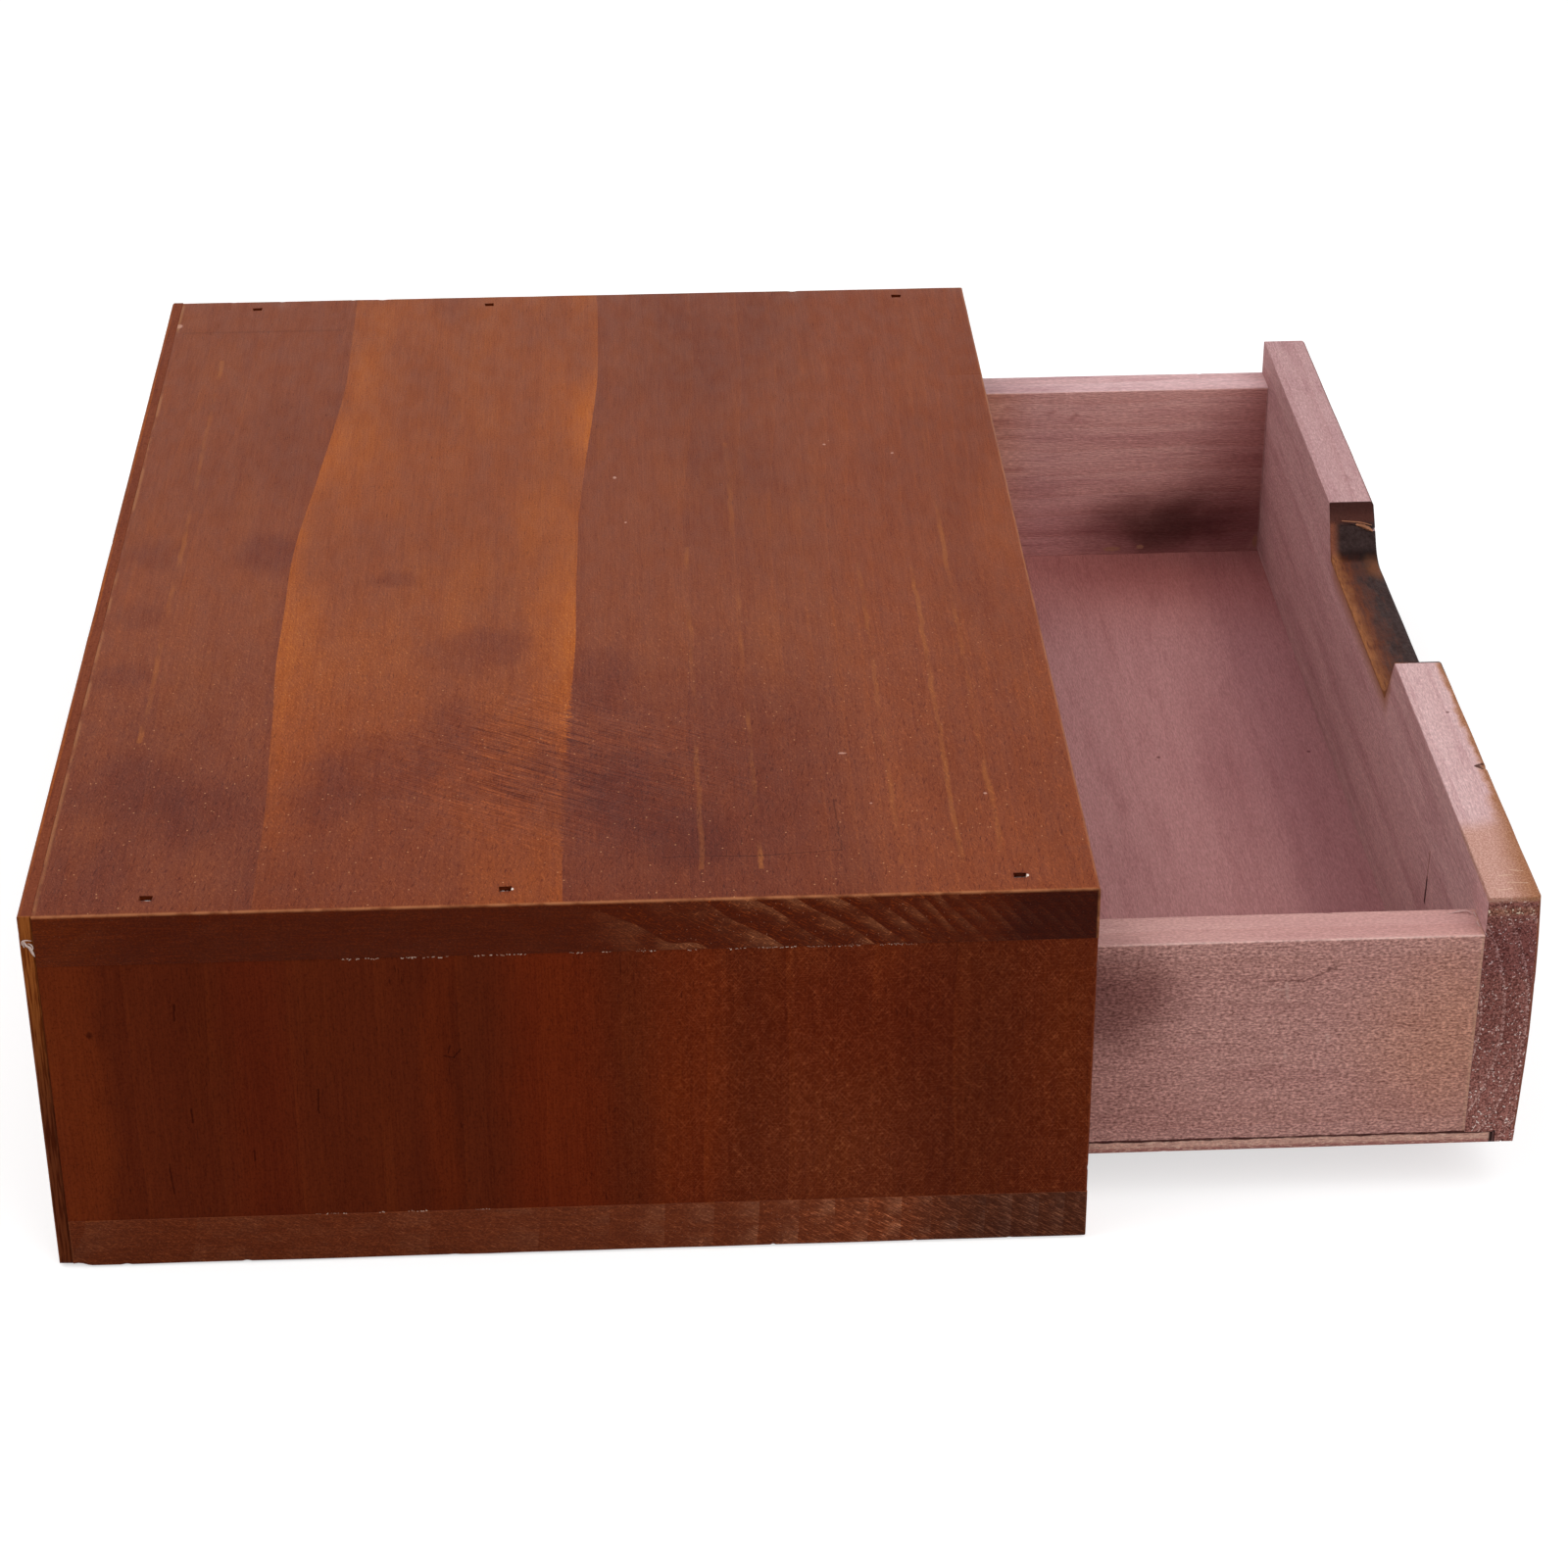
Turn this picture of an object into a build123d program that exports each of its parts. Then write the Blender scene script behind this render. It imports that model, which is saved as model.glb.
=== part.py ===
"""Desktop drawer organizer: a nailed wooden case, open at the front, with one full-width drawer.

The origin is the middle of the case's bottom face. +Z is up, -Y is the front, where the drawer
comes out, and -X is the left side as seen from the front. Sizes are in millimetres.
The drawer is drawn part way out.
"""
import os

from build123d import *

# Case
CASE_WIDTH = 324.0
CASE_DEPTH = 220.0              # front edges to the outer face of the back panel
CASE_HEIGHT = 88.0
BOARD = 12.0                    # the four boards of the case
SHEET = 3.0                     # the back panel and the drawer's bottom
CASE_EASE = 0.8                 # radius of the sanded outer edges

# Drawer
SIDE_CLEARANCE = 1.0            # between the drawer and each side panel
UNDER_CLEARANCE = 0.3           # between the drawer and the bottom board
DRAWER_DEPTH = 215.0            # crown of the front to the back ends of the sides
DRAWER_OPEN = 95.9              # how far out the drawer is drawn
DRAWER_BOARD = 11.0             # sides and back
DRAWER_SIDE_HEIGHT = 50.5       # above the bottom sheet
DRAWER_EASE = 0.5

# Drawer front, crowned on its outer face
FRONT_HEIGHT = 62.8
FRONT_CROWN = 12.1              # thickness at the crown
FRONT_TOP = 11.3                # thickness at the top edge
FRONT_FOOT = 11.1               # thickness at the bottom edge
CROWN_HEIGHT = 33.1             # of the thickest place, above the front's foot
FRONT_CORNER = 1.5              # rounding of the outer upright corners
FRONT_EASE = 1.0
REBATE_DEPTH = 6.3              # step in the front's foot, which takes the bottom sheet

# Finger notch in the middle of the front's top edge
NOTCH_TOP_WIDTH = 87.0
NOTCH_FLOOR_WIDTH = 73.0
NOTCH_DEPTH = 12.7
NOTCH_RADIUS = 8.0

# Brads, rectangular in section, with a small flat head
BRAD_SHANK = (1.3, 1.1)
BRAD_HEAD = (1.6, 2.2)
BRAD_HEAD_THICKNESS = 0.9
LONG_BRAD = 30.0
SHORT_BRAD = 16.0
LONG_BRAD_SUNK = 0.9            # how far a head sits under the wood's face
SHORT_BRAD_SUNK = 0.4
CORNER_BRAD_SPREAD = 28.0       # between the two brads of a drawer corner
FRONT_BRAD_INSET = 0.5          # from the crown to the wood's face beside those brads

# Brads along the case's sides, measured from its middle towards the back
LEFT_BRAD_PLACES = (-94.0, 11.5, 84.5)
RIGHT_BRAD_PLACES = (-91.0, 22.0, 86.0)
BACK_BRAD_COLUMNS = (-118.0, -40.0, 40.0, 118.0)
FLOOR_FRONT_COLUMNS = (-110.0, 0.0, 110.0)
FLOOR_BACK_COLUMNS = (-75.0, 75.0)

CUTTER_REACH = 2.0              # how far a cutter stands out of the face that it cuts

# Places worked out from the sizes above
HALF_WIDTH = CASE_WIDTH / 2
FRONT_Y = -CASE_DEPTH / 2
BACK_Y = CASE_DEPTH / 2
BOARD_BACK_Y = BACK_Y - SHEET
PANEL_MIDDLE_X = HALF_WIDTH - BOARD / 2
DRAWER_WIDTH = CASE_WIDTH - 2 * BOARD - 2 * SIDE_CLEARANCE
DRAWER_HALF = DRAWER_WIDTH / 2
DRAWER_FOOT_Z = BOARD + UNDER_CLEARANCE
DRAWER_FLOOR_Z = DRAWER_FOOT_Z + SHEET
DRAWER_CROWN_Y = FRONT_Y - DRAWER_OPEN
DRAWER_INNER_Y = DRAWER_CROWN_Y + FRONT_CROWN
DRAWER_BACK_Y = DRAWER_CROWN_Y + DRAWER_DEPTH
FRONT_TOP_Z = DRAWER_FOOT_Z + FRONT_HEIGHT
SIDE_MIDDLE_X = DRAWER_HALF - DRAWER_BOARD / 2
SIDE_MIDDLE_Z = DRAWER_FLOOR_Z + DRAWER_SIDE_HEIGHT / 2


def block(x_range, y_range, z_range):
    """A box between three pairs of coordinates."""
    ends = [x_range, y_range, z_range]
    lengths = [high - low for low, high in ends]
    middle = [(low + high) / 2 for low, high in ends]
    return Pos(*middle) * Box(*lengths)


def eased(solid, edges, radius):
    """The solid with the chosen edges rounded."""
    return solid.fillet(radius, list(edges))


def brad(length):
    """One brad pointing down, with the top of its head at the origin."""
    head = Box(*BRAD_HEAD, BRAD_HEAD_THICKNESS, align=(Align.CENTER, Align.CENTER, Align.MAX))
    shank = Box(*BRAD_SHANK, length, align=(Align.CENTER, Align.CENTER, Align.MAX))
    return head + shank


def brad_cutter(length, sunk):
    """The hole that a brad leaves, with the wood's face at the origin."""
    driven = Pos(0, 0, -sunk) * brad(length)
    mouth_height = sunk + CUTTER_REACH
    mouth = Box(*BRAD_HEAD, mouth_height, align=(Align.CENTER, Align.CENTER, Align.MIN))
    return driven + Pos(0, 0, -sunk) * mouth


def driven_brads(spots, length, sunk):
    """The brads of one row, each at its own spot on the wood's face."""
    return [spot * Pos(0, 0, -sunk) * brad(length) for spot in spots]


def drilled(board, spots, length, sunk):
    """The board with the holes of a row of brads."""
    for spot in spots:
        board = board - spot * brad_cutter(length, sunk)
    return board


def facing(direction, x, y, z, turn=0.0):
    """A spot on a face that looks up, down, left, right, forward or back."""
    turns = {
        "up": (0, 0, 0),
        "down": (180, 0, 0),
        "left": (0, -90, 0),
        "right": (0, 90, 0),
        "forward": (90, 0, 0),
        "back": (-90, 0, 0),
    }
    return Location((x, y, z), turns[direction]) * Location((0, 0, 0), (0, 0, turn))


# Rows of brads
def side_rows(direction, z):
    """Spots of the long brads that hold one case board to both side panels."""
    left = [facing(direction, -PANEL_MIDDLE_X, y, z) for y in LEFT_BRAD_PLACES]
    right = [facing(direction, PANEL_MIDDLE_X, y, z) for y in RIGHT_BRAD_PLACES]
    return left, right


TOP_LEFT, TOP_RIGHT = side_rows("up", CASE_HEIGHT)
BOTTOM_LEFT, BOTTOM_RIGHT = side_rows("down", 0.0)

BACK_TOP = [facing("back", x, BACK_Y, CASE_HEIGHT - BOARD / 2, 90) for x in BACK_BRAD_COLUMNS]
BACK_BOTTOM = [facing("back", x, BACK_Y, BOARD / 2, 90) for x in BACK_BRAD_COLUMNS]
BACK_LEFT = [facing("back", -PANEL_MIDDLE_X, BACK_Y, CASE_HEIGHT / 2)]
BACK_RIGHT = [facing("back", PANEL_MIDDLE_X, BACK_Y, CASE_HEIGHT / 2)]
BACK_SPOTS = BACK_TOP + BACK_BOTTOM + BACK_LEFT + BACK_RIGHT

CORNER_HEIGHTS = (SIDE_MIDDLE_Z - CORNER_BRAD_SPREAD / 2, SIDE_MIDDLE_Z + CORNER_BRAD_SPREAD / 2)


def front_row(x):
    """Brads through the drawer front into the end of one side."""
    y = DRAWER_CROWN_Y + FRONT_BRAD_INSET
    return [facing("forward", x, y, z) for z in CORNER_HEIGHTS]


def back_row(direction, x):
    """Brads through one drawer side into the end of the drawer back."""
    y = DRAWER_BACK_Y - DRAWER_BOARD / 2
    return [facing(direction, x, y, z) for z in CORNER_HEIGHTS]


FRONT_LEFT_ROW = front_row(-SIDE_MIDDLE_X)
FRONT_RIGHT_ROW = front_row(SIDE_MIDDLE_X)
BACK_LEFT_ROW = back_row("left", -DRAWER_HALF)
BACK_RIGHT_ROW = back_row("right", DRAWER_HALF)

FLOOR_SIDE_PLACES = (DRAWER_INNER_Y + 30.0, DRAWER_INNER_Y + 102.0, DRAWER_BACK_Y - 28.0)


def floor_row(x_places, y_places, turn=0.0):
    """Brads up through the drawer's bottom sheet into the board above it."""
    return [facing("down", x, y, DRAWER_FOOT_Z, turn) for x in x_places for y in y_places]


FLOOR_LEFT = floor_row([-SIDE_MIDDLE_X], FLOOR_SIDE_PLACES)
FLOOR_RIGHT = floor_row([SIDE_MIDDLE_X], FLOOR_SIDE_PLACES)
FLOOR_BACK = floor_row(FLOOR_BACK_COLUMNS, [DRAWER_BACK_Y - DRAWER_BOARD / 2], 90)
FLOOR_FRONT = floor_row(FLOOR_FRONT_COLUMNS, [DRAWER_INNER_Y - REBATE_DEPTH / 2], 90)
FLOOR_SPOTS = FLOOR_LEFT + FLOOR_RIGHT + FLOOR_BACK + FLOOR_FRONT


# Case boards
def case_board(z_low, outer_z):
    """Top or bottom board: full width, with its outer face's edges sanded round."""
    board = block((-HALF_WIDTH, HALF_WIDTH), (FRONT_Y, BOARD_BACK_Y), (z_low, z_low + BOARD))
    rim = board.faces().sort_by(lambda face: abs(face.center().Z - outer_z))[0].edges()
    return eased(board, [edge for edge in rim if edge.center().Y < BOARD_BACK_Y - 1], CASE_EASE)


def top_board():
    board = case_board(CASE_HEIGHT - BOARD, CASE_HEIGHT)
    board = drilled(board, TOP_LEFT + TOP_RIGHT, LONG_BRAD, LONG_BRAD_SUNK)
    return drilled(board, BACK_TOP, SHORT_BRAD, SHORT_BRAD_SUNK)


def bottom_board():
    board = case_board(0.0, 0.0)
    board = drilled(board, BOTTOM_LEFT + BOTTOM_RIGHT, LONG_BRAD, LONG_BRAD_SUNK)
    return drilled(board, BACK_BOTTOM, SHORT_BRAD, SHORT_BRAD_SUNK)


def side_panel(side, long_rows, short_rows):
    """Side panel between the top and bottom boards; side is -1 for left, 1 for right."""
    outer = side * HALF_WIDTH
    inner = side * (HALF_WIDTH - BOARD)
    x_range = (min(outer, inner), max(outer, inner))
    panel = block(x_range, (FRONT_Y, BOARD_BACK_Y), (BOARD, CASE_HEIGHT - BOARD))
    corner = panel.edges().filter_by(Axis.Z).filter_by(
        lambda edge: edge.center().Y < 0 and abs(edge.center().X) > HALF_WIDTH - 1
    )
    panel = eased(panel, corner, CASE_EASE)
    panel = drilled(panel, long_rows, LONG_BRAD, LONG_BRAD_SUNK)
    return drilled(panel, short_rows, SHORT_BRAD, SHORT_BRAD_SUNK)


def back_panel():
    """Thin sheet laid over the back edges of the four boards."""
    sheet = block((-HALF_WIDTH, HALF_WIDTH), (BOARD_BACK_Y, BACK_Y), (0.0, CASE_HEIGHT))
    rim = sheet.faces().sort_by(Axis.Y)[-1].edges()
    return drilled(eased(sheet, rim, CASE_EASE), BACK_SPOTS, SHORT_BRAD, SHORT_BRAD_SUNK)


# Drawer
def front_section():
    """Upright section of the drawer front, seen from its end, with the rebate in its foot."""
    top = (DRAWER_INNER_Y - FRONT_TOP, FRONT_TOP_Z)
    foot = (DRAWER_INNER_Y - FRONT_FOOT, DRAWER_FOOT_Z)
    crown = (DRAWER_CROWN_Y, DRAWER_FOOT_Z + CROWN_HEIGHT)
    step_y = DRAWER_INNER_Y - REBATE_DEPTH
    outer_face = ThreePointArc(foot, crown, top)
    rest = Polyline(
        top,
        (DRAWER_INNER_Y, FRONT_TOP_Z),
        (DRAWER_INNER_Y, DRAWER_FLOOR_Z),
        (step_y, DRAWER_FLOOR_Z),
        (step_y, DRAWER_FOOT_Z),
        foot,
    )
    return make_face(outer_face + rest)


def notch():
    """Cutter for the finger notch: sloped ends that round into a flat floor."""
    floor_z = FRONT_TOP_Z - NOTCH_DEPTH
    outline = FilletPolyline(
        (-NOTCH_TOP_WIDTH / 2, FRONT_TOP_Z),
        (-NOTCH_FLOOR_WIDTH / 2, floor_z),
        (NOTCH_FLOOR_WIDTH / 2, floor_z),
        (NOTCH_TOP_WIDTH / 2, FRONT_TOP_Z),
        radius=NOTCH_RADIUS,
    )
    lid = Polyline(
        (NOTCH_TOP_WIDTH / 2, FRONT_TOP_Z),
        (NOTCH_TOP_WIDTH / 2, FRONT_TOP_Z + CUTTER_REACH),
        (-NOTCH_TOP_WIDTH / 2, FRONT_TOP_Z + CUTTER_REACH),
        (-NOTCH_TOP_WIDTH / 2, FRONT_TOP_Z),
    )
    face = Plane.XZ * make_face(outline + lid)
    cut_depth = FRONT_CROWN + 2 * CUTTER_REACH
    return Pos(0, DRAWER_INNER_Y + CUTTER_REACH, 0) * extrude(face, cut_depth, dir=(0, -1, 0))


def drawer_front():
    """Crowned front board, with rounded upright corners and the finger notch."""
    section = Plane.YZ * front_section()
    board = Pos(-DRAWER_HALF, 0, 0) * extrude(section, DRAWER_WIDTH, dir=(1, 0, 0))
    corners = board.edges().filter_by(
        lambda edge: edge.center().Y < DRAWER_CROWN_Y + 2
        and abs(edge.center().X) > DRAWER_HALF - 0.1
        and edge.length > FRONT_HEIGHT / 2
    )
    board = eased(board, corners, FRONT_CORNER)
    top_face = board.faces().sort_by(Axis.Z)[-1]
    board = eased(board, top_face.edges(), FRONT_EASE)
    board = board - notch()
    return drilled(
        drilled(board, FRONT_LEFT_ROW + FRONT_RIGHT_ROW, LONG_BRAD, LONG_BRAD_SUNK),
        FLOOR_FRONT,
        SHORT_BRAD,
        SHORT_BRAD_SUNK,
    )


def drawer_side(side, front_brads, back_brads, floor_brads):
    """Side board, butted against the front's inner face; side is -1 for left, 1 for right."""
    outer = side * DRAWER_HALF
    inner = side * (DRAWER_HALF - DRAWER_BOARD)
    x_range = (min(outer, inner), max(outer, inner))
    z_range = (DRAWER_FLOOR_Z, DRAWER_FLOOR_Z + DRAWER_SIDE_HEIGHT)
    board = block(x_range, (DRAWER_INNER_Y, DRAWER_BACK_Y), z_range)
    board = eased(board, board.faces().sort_by(Axis.Z)[-1].edges().filter_by(Axis.Y), DRAWER_EASE)
    board = drilled(board, front_brads + back_brads, LONG_BRAD, LONG_BRAD_SUNK)
    return drilled(board, floor_brads, SHORT_BRAD, SHORT_BRAD_SUNK)


def drawer_back():
    """Back board, held between the two sides."""
    reach = DRAWER_HALF - DRAWER_BOARD
    z_range = (DRAWER_FLOOR_Z, DRAWER_FLOOR_Z + DRAWER_SIDE_HEIGHT)
    board = block((-reach, reach), (DRAWER_BACK_Y - DRAWER_BOARD, DRAWER_BACK_Y), z_range)
    board = eased(board, board.faces().sort_by(Axis.Z)[-1].edges().filter_by(Axis.X), DRAWER_EASE)
    board = drilled(board, BACK_LEFT_ROW + BACK_RIGHT_ROW, LONG_BRAD, LONG_BRAD_SUNK)
    return drilled(board, FLOOR_BACK, SHORT_BRAD, SHORT_BRAD_SUNK)


def drawer_bottom():
    """Thin sheet nailed under the sides and back, and let into the front's rebate."""
    y_range = (DRAWER_INNER_Y - REBATE_DEPTH, DRAWER_BACK_Y)
    sheet = block((-DRAWER_HALF, DRAWER_HALF), y_range, (DRAWER_FOOT_Z, DRAWER_FLOOR_Z))
    return drilled(sheet, FLOOR_SPOTS, SHORT_BRAD, SHORT_BRAD_SUNK)


PIECES = {
    "top_board": top_board(),
    "bottom_board": bottom_board(),
    "left_side_panel": side_panel(-1, TOP_LEFT + BOTTOM_LEFT, BACK_LEFT),
    "right_side_panel": side_panel(1, TOP_RIGHT + BOTTOM_RIGHT, BACK_RIGHT),
    "back_panel": back_panel(),
    "drawer_front": drawer_front(),
    "drawer_left_side": drawer_side(-1, FRONT_LEFT_ROW, BACK_LEFT_ROW, FLOOR_LEFT),
    "drawer_right_side": drawer_side(1, FRONT_RIGHT_ROW, BACK_RIGHT_ROW, FLOOR_RIGHT),
    "drawer_back": drawer_back(),
    "drawer_bottom": drawer_bottom(),
}

BRAD_ROWS = {
    "top_left_brads": (TOP_LEFT, LONG_BRAD, LONG_BRAD_SUNK),
    "top_right_brads": (TOP_RIGHT, LONG_BRAD, LONG_BRAD_SUNK),
    "bottom_left_brads": (BOTTOM_LEFT, LONG_BRAD, LONG_BRAD_SUNK),
    "bottom_right_brads": (BOTTOM_RIGHT, LONG_BRAD, LONG_BRAD_SUNK),
    "back_panel_brads": (BACK_SPOTS, SHORT_BRAD, SHORT_BRAD_SUNK),
    "drawer_front_left_brads": (FRONT_LEFT_ROW, LONG_BRAD, LONG_BRAD_SUNK),
    "drawer_front_right_brads": (FRONT_RIGHT_ROW, LONG_BRAD, LONG_BRAD_SUNK),
    "drawer_back_left_brads": (BACK_LEFT_ROW, LONG_BRAD, LONG_BRAD_SUNK),
    "drawer_back_right_brads": (BACK_RIGHT_ROW, LONG_BRAD, LONG_BRAD_SUNK),
    "drawer_bottom_brads": (FLOOR_SPOTS, SHORT_BRAD, SHORT_BRAD_SUNK),
}
for name, row in BRAD_ROWS.items():
    PIECES[name] = Compound(children=driven_brads(*row))

os.makedirs("parts", exist_ok=True)
for name, piece in PIECES.items():
    export_step(piece, f"parts/{name}.step")
    size = piece.bounding_box().size
    print(f"{name}: {size.X:.1f} x {size.Y:.1f} x {size.Z:.1f} mm, {len(piece.solids())} solid(s)")
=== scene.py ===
import math
import random

import bmesh
import bpy
from mathutils import Euler, Matrix, Vector, noise


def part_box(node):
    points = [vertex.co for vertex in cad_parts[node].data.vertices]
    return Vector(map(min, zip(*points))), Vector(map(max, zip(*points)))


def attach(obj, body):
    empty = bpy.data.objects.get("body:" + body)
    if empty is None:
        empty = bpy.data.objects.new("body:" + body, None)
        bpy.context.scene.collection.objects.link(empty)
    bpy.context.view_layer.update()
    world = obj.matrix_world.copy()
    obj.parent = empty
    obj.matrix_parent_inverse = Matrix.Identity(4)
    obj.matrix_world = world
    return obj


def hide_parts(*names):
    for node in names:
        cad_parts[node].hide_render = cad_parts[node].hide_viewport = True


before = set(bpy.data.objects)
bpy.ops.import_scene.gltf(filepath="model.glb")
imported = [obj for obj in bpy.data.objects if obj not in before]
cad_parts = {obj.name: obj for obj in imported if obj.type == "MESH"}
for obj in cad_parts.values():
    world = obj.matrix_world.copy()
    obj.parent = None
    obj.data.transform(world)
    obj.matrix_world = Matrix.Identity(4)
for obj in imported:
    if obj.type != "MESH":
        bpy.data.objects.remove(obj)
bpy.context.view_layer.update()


# Camera
# A long lens nearly a metre away looks at the left side of the case and down on it at thirty
# degrees, so that the top, the left side and the inside of the open drawer all show.
CAMERA_PLACE = (-0.80198, -0.017375, 0.480539)     # in metres
LENS = 84.802                                      # in millimetres, on a frame 36 mm wide

camera = bpy.data.objects.new("camera", bpy.data.cameras.new("camera"))
camera.data.sensor_width = 36.0
camera.data.lens = LENS
camera.data.clip_start = 0.01
look_down, look_right, tilt = math.radians(29.7507), math.radians(2.5009), math.radians(-0.24581)
aim = Euler((math.radians(90) - look_down, 0, -math.radians(90) - look_right)).to_matrix()
aim = aim @ Matrix.Rotation(tilt, 3, "Z")
camera.matrix_world = Matrix.LocRotScale(Vector(CAMERA_PLACE), aim, None)
bpy.context.scene.collection.objects.link(camera)
bpy.context.scene.camera = camera
bpy.context.scene.view_settings.view_transform = "Standard"


# Bottom board
# A planed softwood board, 12 mm thick, with its grain from side to side and its outer arrises
# sanded off. It carries the side panels on its ends, and takes brads from below and behind.
MM = 0.001
ARRIS = 0.12                                       # radius of an edge that was only touched with paper
UNEVEN = 0.25                                      # how much a sanded edge's radius wanders, in parts of it
ARC_ROWS = (0.0, 0.22, 0.42, 0.58, 0.73, 0.87, 1.0)   # rows over a rounded edge, in parts of its radius
NICK_ROWS = (-1.0, -0.7, -0.35, 0.0, 0.35, 0.7, 1.0)  # rows over a nick, in parts of its half length
CLOSEST_ROWS = 0.03                                # rows nearer than this become one
SIDES = "-+"
AXES = "xyz"
LEFT, RIGHT, FRONT, REAR = (-1, 0, 0), (1, 0, 0), (0, -1, 0), (0, 1, 0)
DOWN, UP = (0, 0, -1), (0, 0, 1)
BRAD_SHANK = (1.3, 1.1)                            # along the short and the long side of its head
HEAD_THICKNESS = 0.9
SHANK_ROOM, HEAD_ROOM, MOUTH_ROOM = 1.01, 1.03, 1.35   # widths of a brad's hole, in parts of the brad's
MOUTH_TEAR = 0.3
MOUTH = 2.0                                        # how far a brad's hole is cut past the wood's face
CREASE = math.radians(38)                          # a sharper fold than this shows as an edge
HIDDEN = 9.0                                       # moves the wear and the painted highlight off an edge that lies in a joint


def node_box(node):
    """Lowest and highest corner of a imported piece, in millimetres."""
    low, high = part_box(node)
    return low / MM, high / MM


def scattered_nicks(low, high, ease, count, seed):
    """Small nicks along the rounded edges, as (middle, half length, depth) for each edge."""
    pick = random.Random(seed)
    nicks = {edge: [] for edge in ease}
    for edge in pick.choices(sorted(ease), k=count):
        run = 3 - AXES.index(edge[1]) - AXES.index(edge[3])
        middle = pick.uniform(low[run] + 4, high[run] - 4)
        nicks[edge].append((middle, pick.uniform(0.5, 1.7), pick.uniform(0.15, 0.6)))
    return nicks


def eased(point, low, high, ease, nicks, seed):
    """Where a point on a sharp box lies once the box's edges are rounded, always further in."""
    side = [int(point[n] - low[n] > high[n] - point[n]) for n in range(3)]
    depth = [min(point[n] - low[n], high[n] - point[n]) for n in range(3)]
    moved = [0.0, 0.0, 0.0]
    for i, j in ((0, 1), (0, 2), (1, 2)):
        edge = SIDES[side[i]] + AXES[i] + SIDES[side[j]] + AXES[j]
        run = point[3 - i - j]
        wobble = noise.noise(Vector((run * 0.11, seed + 3.1 * i + 5.7 * j, 2.3 * side[i] + 4.9 * side[j])))
        radius = ease.get(edge, ARRIS) * (1 + UNEVEN * wobble)
        for middle, half, deep in nicks.get(edge, ()):
            off = abs(run - middle) / half
            radius += deep * max(0.0, 1 - off * off) ** 2
        over, beside = radius - depth[i], radius - depth[j]
        reach = math.hypot(over, beside)
        if over > 0 and beside > 0 and reach > radius:
            moved[i] = max(moved[i], over - over * radius / reach)
            moved[j] = max(moved[j], beside - beside * radius / reach)
    return [point[n] + (-moved[n] if side[n] else moved[n]) for n in range(3)]


def rows(low, high, n, ease, nicks, pitch, extra):
    """Places along axis n where a board is divided: close over its edges and nicks, wide between."""
    places = set(extra)
    for edge, radius in list(ease.items()) + [(SIDES[s] + AXES[n], ARRIS) for s in (0, 1)]:
        if AXES[n] in edge:
            top = edge[edge.index(AXES[n]) - 1] == "+"
            places |= {high - radius * row if top else low + radius * row for row in ARC_ROWS}
        else:
            places |= {middle + half * row for middle, half, _ in nicks[edge] for row in NICK_ROWS}
    count = max(1, round((high - low) / pitch))
    places |= {low + (high - low) * step / count for step in range(count + 1)}
    kept = [low]
    for place in sorted(places):
        if kept[-1] + CLOSEST_ROWS < place < high - CLOSEST_ROWS:
            kept.append(place)
    return kept + [high]


def new_piece(name, points, faces):
    """A piece of the object, from points in millimetres."""
    mesh = bpy.data.meshes.new(name)
    mesh.from_pydata([Vector(point) * MM for point in points], [], faces)
    piece = bpy.data.objects.new(name, mesh)
    bpy.context.scene.collection.objects.link(piece)
    return piece


def board(node, low, high, ease, nick_count=0, seed=0, pitch=8.0, extra=((), (), ()), shape=None, nicks=()):
    """A board between two corners in millimetres, with rounded edges such as "-x+z". It has nicks at
    random, and those given as (edge, middle, half length, depth). shape moves each finished point."""
    marks = scattered_nicks(low, high, ease, nick_count, seed)
    for edge, *nick in nicks:
        marks[edge].append(nick)
    lines = [rows(low[n], high[n], n, ease, marks, pitch, extra[n]) for n in range(3)]
    index, points, faces = {}, [], []
    for n, u, v in ((0, 1, 2), (1, 2, 0), (2, 0, 1)):
        for end in (0, len(lines[n]) - 1):
            for a in range(len(lines[u]) - 1):
                for b in range(len(lines[v]) - 1):
                    corners = []
                    for step_a, step_b in ((0, 0), (1, 0), (1, 1), (0, 1)):
                        spot = [end, end, end]
                        spot[u], spot[v] = a + step_a, b + step_b
                        key = tuple(spot)
                        if key not in index:
                            index[key] = len(points)
                            sharp = [lines[m][spot[m]] for m in range(3)]
                            place = eased(sharp, low, high, ease, marks, seed)
                            points.append(shape(place) if shape else place)
                        corners.append(index[key])
                    faces.append(corners if end else corners[::-1])
    return new_piece("finished_" + node, points, faces)


def solids_of(node):
    """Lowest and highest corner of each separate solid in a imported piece, in millimetres."""
    shell = bmesh.new()
    shell.from_mesh(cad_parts[node].data)
    bmesh.ops.remove_doubles(shell, verts=shell.verts, dist=1e-6)
    left, boxes = set(shell.verts), []
    while left:
        group, found = set(), [next(iter(left))]
        while found:
            vert = found.pop()
            if vert not in group:
                group.add(vert)
                found += [edge.other_vert(vert) for edge in vert.link_edges]
        left -= group
        spots = [vert.co / MM for vert in group]
        boxes.append([Vector(pick(spot[n] for spot in spots) for n in range(3)) for pick in (min, max)])
    shell.free()
    return sorted(boxes, key=lambda box: tuple(round(c, 3) for c in box[0]))


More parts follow.
